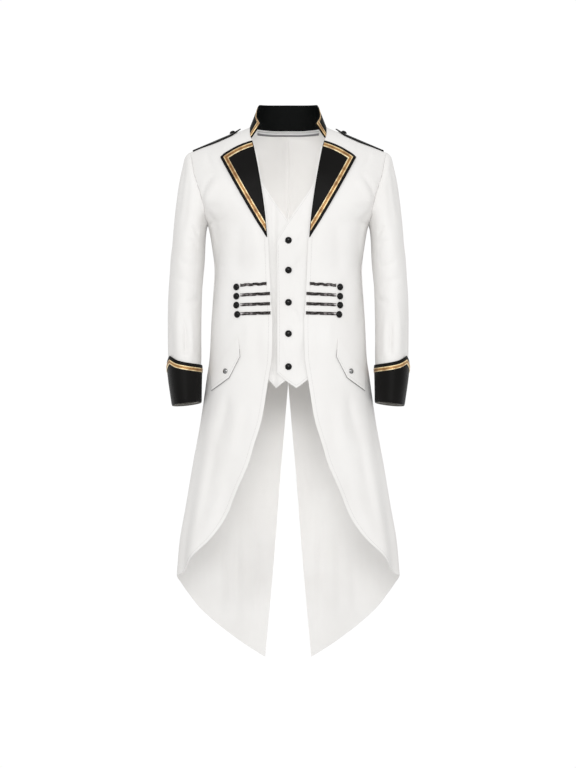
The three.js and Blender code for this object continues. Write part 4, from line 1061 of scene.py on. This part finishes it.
def cuff_braid_line(share):
    """One thread of the braid, from the back of the cuff over both peaks, as degrees and heights."""
    degrees = np.linspace(0, 180, ROUND_POINTS)
    away = away_along(sleeve_section(degrees, np.full(ROUND_POINTS, float(CUFF_PEAK_Z)))[:, :2])
    fine = np.linspace(0, 1, FINE_POINTS)
    notch_z, peak_z = CUFF_EDGE["z"][:2]
    leg = lerp(-CUFF_PEAK_ANGLE / 2, CUFF_PEAK_ANGLE, fine)
    leg_path = np.stack([
        np.sign(leg) * np.interp(np.abs(leg), degrees, away),
        notch_z + (peak_z - notch_z) / CUFF_PEAK_ANGLE * leg,
    ], axis=-1)
    wing = lerp(CUFF_PEAK_ANGLE, 180 - CUFF_SPLIT, fine)
    wing_path = np.stack([np.interp(wing, degrees, away), cuff_edge_z(wing)], axis=-1)
    distance = CUFF_BRAID[0] + CUFF_BRAID[1] * share
    sides = [beside(path, distance) for path in (leg_path, wing_path)]
    sides[0] = sides[0][sides[0][:, 0] > 0]
    half = mitred(*sides, CUFF_LEGS)
    half[0, 0] = 0
    half = np.stack([np.interp(half[:, 0], away, degrees), half[:, 1]], axis=-1)
    return np.concatenate([half[:0:-1] * np.array([-1, 1]), half])


def add_cuffs():
    degrees = cuff_degrees()[None]
    t = np.linspace(0, 1, CUFF_ROWS)[:, None]
    z = lerp(cuff_edge_z(degrees), sleeve_end_z(degrees, CUFF_BELOW_SLEEVE), t)
    outer, inner = (cuff_point(degrees, z, lift) for lift in (TRIM_CLOTH, 0.0))
    dent = rolled(outer, CUFF_ROLLS)
    outer = pressed(outer, unit(outer - inner), dent, TRIM_CLOTH)
    lines = np.stack([cuff_braid_line(share) for share in BRAID_ACROSS])
    seat = TRIM_CLOTH + TRIM_GAP
    braid, braid_low = (cuff_point(lines[..., 0], lines[..., 1], seat + k * BRAID_HEIGHT) for k in (1, 0))
    inside_z = lerp(sleeve_end_z(degrees, CUFF_BELOW_SLEEVE - 0.4), sleeve_end_z(degrees) + TURNED_UP, t)
    spare = lerp(CUFF_BOTTOM_CLEARANCE * 0.6, -CLOTH - TURNED_GAP, np.clip(t * 4, 0, 1))
    turned_in = sleeve_section(degrees, inside_z, spare)
    turned_in_low = sleeve_section(degrees, inside_z, spare - lerp(TURNED_THIN, TURNED_THICK, t ** 2))
    for side, sign in SIDES:
        add_piece(f"cuff_cloth_{side}", f"cuff_{side}", outer, inner, satin, "facing", sign,
                  flat=(0.38, 0.125), held="folded", area=0.0323)
        wall(f"cuff_turned_in_{side}", turned_in, turned_in_low, lining, sign)
        add_piece(f"cuff_braid_strip_{side}", f"cuff_braid_{side}", braid, braid_low, gold, "gold_braid",
                  sign, strip=True)


# Collar
def neck_seam(share):
    neck_x = NECK_POINT[0]
    back_x = neck_x * np.sin(np.clip(share / NECK_BACK_SHARE, 0, 1) * math.pi / 2)
    back_z = back_neck_z(back_x)
    behind = body_at(angle_at(back_x, back_z), back_z, 1)
    along = np.clip((share - NECK_BACK_SHARE) / (1 - NECK_BACK_SHARE), 0, 1)
    z = lerp(NECK_POINT[1], COLLAR_FRONT_Z, 1 - np.cos(along * math.pi / 2))
    ahead = body_at(angle_at(front_edge_x(z), z), z, -1)
    return np.where((share < NECK_BACK_SHARE)[..., None], behind, ahead)


def collar_surface(share, up):
    size = np.abs(share)
    base = neck_seam(size) + np.array([0, 0, COLLAR_RISE])
    top = np.stack([axis(size) for axis in collar_top], axis=-1)
    point = lerp(base, top, up[..., None])
    point[..., 0] = np.where(share < 0, -point[..., 0], point[..., 0])
    return point


def collar_point(share, up, lift):
    share, up, lift = np.broadcast_arrays(share, up, lift)
    step = COLLAR_STEP
    before, after = np.maximum(-1, share - step), np.minimum(1, share + step)
    along = collar_surface(after, up) - collar_surface(before, up)
    rise = collar_surface(share, up + step) - collar_surface(share, up - step)
    return collar_surface(share, up) - unit(np.cross(along, rise)) * lift[..., None]


def collar_braid_line(across):
    """One thread of the braid, up one front end, along the top and down the other end."""
    inward = COLLAR_BRAID[0] + COLLAR_BRAID[1] * across
    end, top = COLLAR_LENGTH - inward, COLLAR_HEIGHT - inward
    corners = np.array([(-end, 0), (-end, top), (end, top), (end, 0)], float)
    legs = [evenly(corners[i:i + 2], count) for i, count in enumerate(COLLAR_LEGS)]
    return np.concatenate([legs[0], legs[1][1:], legs[2][1:]])


def add_collar():
    share = np.linspace(-1, 1, COLLAR_COLUMNS)[None]
    up = np.linspace(1, 0, COLLAR_ROWS)[:, None]
    outer, inner = collar_point(share, up, 0.0), collar_point(share, up, -COLLAR_WALL)
    normal = unit(outer - inner)
    for edge in ("top", "start", "end"):
        roll = normal * edge_roll(from_edge(outer, edge), *COLLAR_EDGE)[..., None]
        outer, inner = outer - roll, inner + roll
    add_piece("collar_cloth", "collar", outer, inner, collar_satin, "facing",
              flat=(0.37, 0.065), held="stretched", area=0.0174)
    lines = np.stack([collar_braid_line(across) for across in BRAID_ACROSS])
    share = lines[..., 0] / COLLAR_LENGTH
    up = np.maximum(BRAID_LOWEST, lines[..., 1] / COLLAR_HEIGHT)
    sunk = lerp(BRAID_SUNK, 1.0, smoothstep((np.abs(share) - SUNK_FROM) / SUNK_REACH))
    strip, strip_low = (collar_point(share, up, (TRIM_GAP + k * BRAID_HEIGHT) * sunk) for k in (1, 0))
    add_piece("collar_braid_strip", "collar_braid", strip, strip_low, gold, "gold_braid", strip=True)
    share = np.linspace(-COLLAR_STITCH_END, COLLAR_STITCH_END, COLLAR_STITCH_POINTS)
    up = np.full_like(share, COLLAR_STITCH_UP)
    line, above = (collar_point(share, up, -COLLAR_WALL - k) for k in (0, 1))
    stitch_run("collar_stitches", (line, above - line), 1, collar_satin)


def add_neck_tape():
    x = np.linspace(-1, 1, TAPE_COLUMNS)[None] * TAPE_HALF
    down = np.linspace(0, 1, TAPE_ROWS)[:, None]
    z = back_neck_z(np.abs(x)) - TAPE_DROP - TAPE_HEIGHT * down
    outer, inner = (half_point(x, z, 1, TAPE_LIFT - thick) for thick in (0, TAPE_WALL))
    add_piece("neck_tape_strip", "neck_tape", outer, inner, tape_cloth, "tape",
              flat=(0.158, 0.012), held="stretched", area=0.00187)


# Lapels
def lapel_outline(across, down):
    roll_z = lerp(LAPEL_TOP_Z, LAPEL_TIP[1], down)
    outer_x = lerp(LAPEL_POINT[0], LAPEL_TIP[0] + LAPEL_TIP_WIDTH, down)
    outer_x = outer_x + LAPEL_OUTER_BULGE * 4 * down * (1 - down)
    outer_z = lerp(LAPEL_POINT[1], LAPEL_TIP[1] - LAPEL_TIP_DROP, down)
    bulge = LAPEL_TOP_BULGE * 4 * across * (1 - across) * (1 - down)
    return lerp(lapel_roll_x(roll_z), outer_x, across), lerp(roll_z, outer_z, across) + bulge


def lapel_lift(x, z):
    return LAID_GAP + LAPEL_LIFT * smoothstep((x - lapel_roll_x(z)) / LAPEL_LIFT_REACH)


def lapel_braid_line(across):
    """One thread of the braid, from the roll line over the point down to the tip."""
    fine = np.linspace(0, 1, FINE_POINTS)
    ways = ((fine, 0.0 * fine), (1.0 + 0.0 * fine, fine))
    paths = [np.stack(lapel_outline(*way), axis=-1) for way in ways]
    sides = [beside(path, LAPEL_BRAID[0] + LAPEL_BRAID[1] * across) for path in paths]
    sides = [side[side[:, 0] > lapel_roll_x(side[:, 1]) + ROLL_MARGIN] for side in sides]
    return mitred(*sides, LAPEL_LEGS)


def add_lapels():
    x, z = lapel_outline(np.linspace(0, 1, LAPEL_COLUMNS)[None], np.linspace(0, 1, LAPEL_ROWS)[:, None])
    low, high = (front_point(x, z, lapel_lift(x, z) + thick) for thick in (0, TRIM_CLOTH))
    dent = rolled(high, LAPEL_ROLLS)
    high = pressed(high, unit(high - low), dent, TRIM_CLOTH)
    lines = np.stack([lapel_braid_line(across) for across in BRAID_ACROSS])
    x, z = lines[..., 0], lines[..., 1]
    seat = lapel_lift(x, z) + TRIM_CLOTH + TRIM_GAP
    strip, strip_low = (front_point(x, z, seat + k * BRAID_HEIGHT) for k in (1, 0))
    for side, sign in SIDES:
        add_piece(f"lapel_cloth_{side}", f"lapel_{side}", high, low, satin, "facing", sign,
                  flat=(0.12, 0.25), held="folded", area=0.0122)
        add_piece(f"lapel_braid_strip_{side}", f"lapel_braid_{side}", strip, strip_low, gold, "gold_braid",
                  sign, strip=True)


# Waistcoat front
def vest_top_z(x):
    return VEST_APEX_Z + np.where(x >= 0, VEST_NECK_SLOPE, VEST_LAP_SLOPE) * x


def vest_grids(knots, hem, lift, calm, dip):
    """Both faces of one half, seated behind the front's edge, and its normals."""
    parts = [np.linspace(a, b, VEST_COLUMNS, endpoint=False) for a, b in zip(knots, knots[1:])]
    x = np.append(np.concatenate(parts), knots[-1])[None]
    down = np.linspace(0, 1, VEST_ROWS)[:, None]
    z = lerp(vest_top_z(x), np.interp(x, hem["x"], hem["z"]), down)
    x = x + 0 * z
    seat = smoothstep((x - VEST_SEAT_X) / VEST_SEAT_REACH)
    depth = lerp(lift, VEST_SEAT_LIFT, seat) - dip * bell(x, VEST_DIP_X, VEST_DIP_WIDE)
    creases = crease_out(VEST_CREASES, x, z) * calm - crease_out(FRONT_CREASES, np.abs(x), z)
    outer, inner = (front_point(x, z, depth + creases * (1 - seat) - thick) for thick in (0, VEST_WALL))
    normal = unit(outer - inner)
    dent = rolled(outer, VEST_ROLLS)
    dent += stitch_groove(from_edge(outer, "top"), NARROW_STITCH, *VEST_GROOVE)
    return pressed(outer, normal, dent, VEST_WALL), inner, normal


def add_vest():
    left, right = (-26, -5, 19, 47, 88), (-8, 5, 29, 47, 88)
    pieces = (
        ("left", 1, left, VEST_HEM_LEFT, VEST_LIFT, 1.0, 0, (0.12, 0.5), 0.0477),
        ("right", -1, right, VEST_HEM_RIGHT, VEST_UNDER_LIFT, 0.4, VEST_DIP, (0.1, 0.5), 0.0415),
    )
    for side, sign, knots, hem, lift, calm, dip, flat, area in pieces:
        outer, inner, normal = vest_grids(knots, hem, lift, calm, dip)
        add_piece(f"waistcoat_cloth_{side}", f"waistcoat_{side}", outer, inner, white, "cloth", sign,
                  flat=flat, held="hung", area=area)
        neck = seam_line(outer, normal, "top", NARROW_STITCH)
        low = seam_line(outer, normal, "bottom", NARROW_STITCH, slice(CORNER_COLUMNS, None))
        stitch_run(f"waistcoat_neck_stitches_{side}", neck, sign)
        stitch_run(f"waistcoat_hem_stitches_{side}", low, sign)
        if side == "left":
            lap = seam_line(outer, normal, "start", NARROW_STITCH, slice(LAP_END_ROWS, -LAP_END_ROWS))
            stitch_run("waistcoat_lap_stitches", lap, sign)


# Bands, flaps and straps
def add_bands():
    across = np.linspace(0.5, -0.5, BAND_ROWS)[:, None]
    t = np.linspace(0, 1, BAND_COLUMNS)[None]
    height = BAND_FLAT + cords(across, *BAND_CORDS)
    for i, (inner_x, inner_z, outer_z, *_) in enumerate(zip(*BANDS.values())):
        wavy = BAND_TWIST[i] * np.sin(t * BAND_WAVES * 2 * math.pi) * smoothstep(t / BAND_CALM)
        wide = BAND_WIDTH * (1 - BAND_NARROWING * np.abs(wavy))
        z = lerp(inner_z, outer_z, t) + across * wide + wavy
        x = lerp(inner_x, BAND_OUTER_X, t)
        high, low = (front_point(x, z, LAID_GAP + k * height) for k in (1, 0))
        for side, sign in SIDES:
            add_piece(f"band_strip_{side}_{i + 1}", f"band_{side}_{i + 1}", high, low, dark_band,
                      "dark_band", sign, strip=True)


def flap_edge(rows, t):
    steps = np.linspace(0, 1, len(rows["x"]))
    return np.array([np.interp(t, steps, rows[axis]) for axis in ("x", "z")])


def add_flaps():
    t = np.linspace(0, 1, FLAP_COLUMNS)[None]
    down = np.linspace(0, 1, FLAP_ROWS)[:, None]
    top, hem = flap_edge(FLAP_TOP, t), flap_edge(FLAP_LOW, t)
    x, z = lerp(top, hem, down)
    low, high = (front_point(x, z, LAID_GAP + FLAP_STAND * down + thick) for thick in (0, TRIM_CLOTH))
    normal = unit(high - low)
    nearest = nearest_edge(high, "bottom", "start", "end")
    dent = edge_roll(nearest, *FLAP_EDGE) + stitch_groove(nearest, NARROW_STITCH, *FLAP_GROOVE)
    high = pressed(high, normal, dent, TRIM_CLOTH)
    line = seam_line(high, normal, "bottom", NARROW_STITCH, slice(CORNER_COLUMNS, None))
    # A grey strip showing below the flap: painted shadow of its lower edge
    under = lerp(SHADOW_STRIP_TOP, 1.0, down) + down * SHADOW_STRIP_SHARE * smoothstep((t - SHADOW_STRIP_START) / SHADOW_STRIP_REACH)
    x, z = lerp(top, hem, under)
    x = x + SHADOW_STRIP_CORNER * t ** SHADOW_STRIP_CORNER_POWER
    shadow_strip_high = front_point(x, z, LAID_GAP + SHADOW_STRIP_FACES[0] * FLAP_STAND * down)
    shadow_strip_low = front_point(x, z, LAID_GAP / 2 + SHADOW_STRIP_FACES[1] * FLAP_STAND * down)
    for side, sign in SIDES:
        wall(f"flap_shadow_strip_{side}", shadow_strip_high, shadow_strip_low, flap_shadow_strip, sign)
        add_piece(f"flap_cloth_{side}", f"pocket_flap_{side}", high, low, white, "cloth", sign,
                  flat=(0.12, 0.06), held="laid", rests_on=[f"front_cloth_{side}"], area=0.0048)
        stitch_run(f"flap_stitches_{side}", line, sign)


def ridge_z(x, y):
    """Height of the yoke over a point of the plan, near the shoulder seam."""
    high = shoulder_z(x) + 0 * y
    low = high - YOKE_REACH
    for _ in range(RIDGE_HALVINGS):
        z = (high + low) / 2
        angle = angle_at(x + 0 * y, z)
        depth = np.where(y < 0, -body_at(angle, z, -1)[..., 1], body_at(angle, z, 1)[..., 1])
        above = depth < np.abs(y)
        high, low = np.where(above, z, high), np.where(above, low, z)
    return (high + low) / 2


def strap_point(x, across, lift):
    x, across, lift = np.broadcast_arrays(x, across, lift)
    width = STRAP_HALF * np.clip((x - STRAP_INNER_X + STRAP_BLUNTNESS) / STRAP_POINT, 0, 1)
    narrowing = STRAP_TAPER * smoothstep((x - STRAP_TAPER_X) / STRAP_TAPER_REACH)
    y = across * np.where(across < 0, width * (1 - narrowing), width)
    depth = front_depth(shoulder_z(x)) * np.cos(angle_at(x, shoulder_z(x)))
    tip = STRAP_TIP_LIFT * smoothstep((STRAP_TIP_X - x) / STRAP_TIP_REACH)
    slope = (shoulder_z(x - 1) - shoulder_z(x + 1)) / 2
    up = unit(np.stack([slope, y / depth, np.ones_like(y)], axis=-1))
    return np.stack([x, y, ridge_z(x, y)], axis=-1) + up * (STRAP_LIFT + tip + lift)[..., None]


def add_straps():
    shoulders = STRAP_INNER_X + STRAP_POINT
    x = np.concatenate([
        np.linspace(STRAP_INNER_X, shoulders, STRAP_POINT_ROWS, endpoint=False),
        np.linspace(shoulders, STRAP_OUTER_X, STRAP_ROWS),
    ])[:, None]
    across = np.linspace(-1, 1, STRAP_COLUMNS)[None]
    high, low = strap_point(x, across, TRIM_CLOTH), strap_point(x, across, 0.0)
    dent = edge_roll(nearest_edge(high, "start", "end", "top"), *STRAP_EDGE)
    high = pressed(high, unit(high - low), dent, TRIM_CLOTH)
    for side, sign in SIDES:
        add_piece(f"strap_cloth_{side}", f"shoulder_strap_{side}", high, low, satin, "facing", sign,
                  flat=(0.045, 0.13), held="laid", rests_on=[f"front_cloth_{side}", f"back_cloth_{side}"])


# Buttons
def add_button(name, node_name, place, size, mat, sign=1):
    """A domed button with a rolled rim, sewn to a point of the cloth."""
    radius, height = size
    seat, above = place(0), place(1)
    up = unit(above - seat)
    side = unit(np.cross(up, np.array([0.0, 0.2, 1.0])))
    ahead = np.cross(up, side)
    turns = [2 * math.pi * k / BUTTON_TURNS for k in range(BUTTON_TURNS)]
    points, faces = [], []
    for r, h in BUTTON_PROFILE[1:-1]:
        for a in turns:
            outward = side * math.cos(a) + ahead * math.sin(a)
            points.append(seat + radius * r * outward + up * height * h)
    last = len(points) - BUTTON_TURNS
    bottom, top = len(points), len(points) + 1
    points += [seat, seat + up * height]
    for k in range(BUTTON_TURNS):
        after = (k + 1) % BUTTON_TURNS
        for ring in range(0, last, BUTTON_TURNS):
            a, b = ring + k, ring + after
            faces.append((a, b, b + BUTTON_TURNS, a + BUTTON_TURNS))
        faces += [(bottom, after, k), (top, last + k, last + after)]
    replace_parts(small_mesh(name, points, faces, sign, mat), node_name)


def seated(x, z, lift):
    """Places above a point of the front, by height over the cloth."""
    return lambda height: front_point(x, z, lift + height)


def on_strap(height):
    return strap_point(float(STRAP_BUTTON_X), 0.0, TRIM_CLOTH + STRAP_BUTTON_GAP + height)


def add_buttons():
    for i, z in enumerate(VEST_BUTTONS):
        place = seated(VEST_BUTTON_X, z, VEST_LIFT + VEST_BUTTON_GAP)
        add_button(f"waistcoat_dome_{i + 1}", f"waistcoat_button_{i + 1}", place, VEST_BUTTON, black_button)
    on_flap = seated(*FLAP_BUTTON, LAID_GAP + TRIM_CLOTH + FLAP_BUTTON_UP * FLAP_STAND)
    for side, sign in SIDES:
        for i, (x, z) in enumerate(zip(BANDS["button_x"], BANDS["button_z"])):
            add_button(f"band_dome_{side}_{i + 1}", f"band_button_{side}_{i + 1}", seated(x, z, LAID_GAP),
                       BAND_BUTTON, black_button, sign)
        add_button(f"flap_dome_{side}", f"flap_button_{side}", on_flap, FLAP_BUTTON_SIZE, steel_button,
                   sign)
        add_button(f"strap_dome_{side}", f"strap_button_{side}", on_strap, STRAP_BUTTON, black_button,
                   sign)


# Light and camera
def add_light(name, place, target, size, watts):
    data = bpy.data.lights.new(name, "AREA")
    data.shape = "DISK"
    data.size = size
    data.energy = watts
    light = bpy.data.objects.new(name, data)
    light.location = place
    light.rotation_euler = (Vector(target) - Vector(place)).to_track_quat("-Z", "Y").to_euler()
    bpy.context.scene.collection.objects.link(light)


def add_room():
    """A dim room with one bright white screen behind the coat."""
    world = bpy.data.worlds.new("studio")
    bpy.context.scene.world = world
    world.use_nodes = True
    tree = world.node_tree
    coords = tree.nodes.new("ShaderNodeTexCoord")
    split = node(tree, "ShaderNodeSeparateXYZ", {"Vector": coords.outputs["Generated"]})
    strength = node(tree, "ShaderNodeMapRange", {
        "Value": split.outputs["Y"], "From Min": SCREEN_EDGE, "From Max": SCREEN_START, "To Min": ROOM_LIGHT,
        "To Max": SCREEN_LIGHT,
    }, interpolation_type="SMOOTHSTEP")
    light = {"Color": (1, 1, 1, 1), "Strength": strength.outputs["Result"]}
    set_inputs(tree, tree.nodes["Background"], light)


def add_camera():
    data = bpy.data.cameras.new("camera")
    data.sensor_width = SENSOR
    data.lens = SENSOR * CAMERA_DISTANCE / (PHOTO_HEIGHT * MM_PER_PIXEL * MM)
    camera = bpy.data.objects.new("camera", data)
    centre_x = (PHOTO_WIDTH / 2 - ORIGIN_PIXEL[0]) * MM_PER_PIXEL * MM
    centre_z = (ORIGIN_PIXEL[1] - PHOTO_HEIGHT / 2) * MM_PER_PIXEL * MM
    camera.location = (centre_x, -CAMERA_DISTANCE, centre_z)
    camera.rotation_euler = (math.pi / 2, 0, 0)
    bpy.context.scene.collection.objects.link(camera)
    bpy.context.scene.camera = camera


add_camera()
add_room()
for light in LIGHTS:
    add_light(*light)
bpy.context.scene.view_settings.view_transform = "Standard"
add_body()
add_sleeves()
add_cuffs()
add_collar()
add_neck_tape()
add_lapels()
add_vest()
add_bands()
add_flaps()
add_straps()
add_buttons()
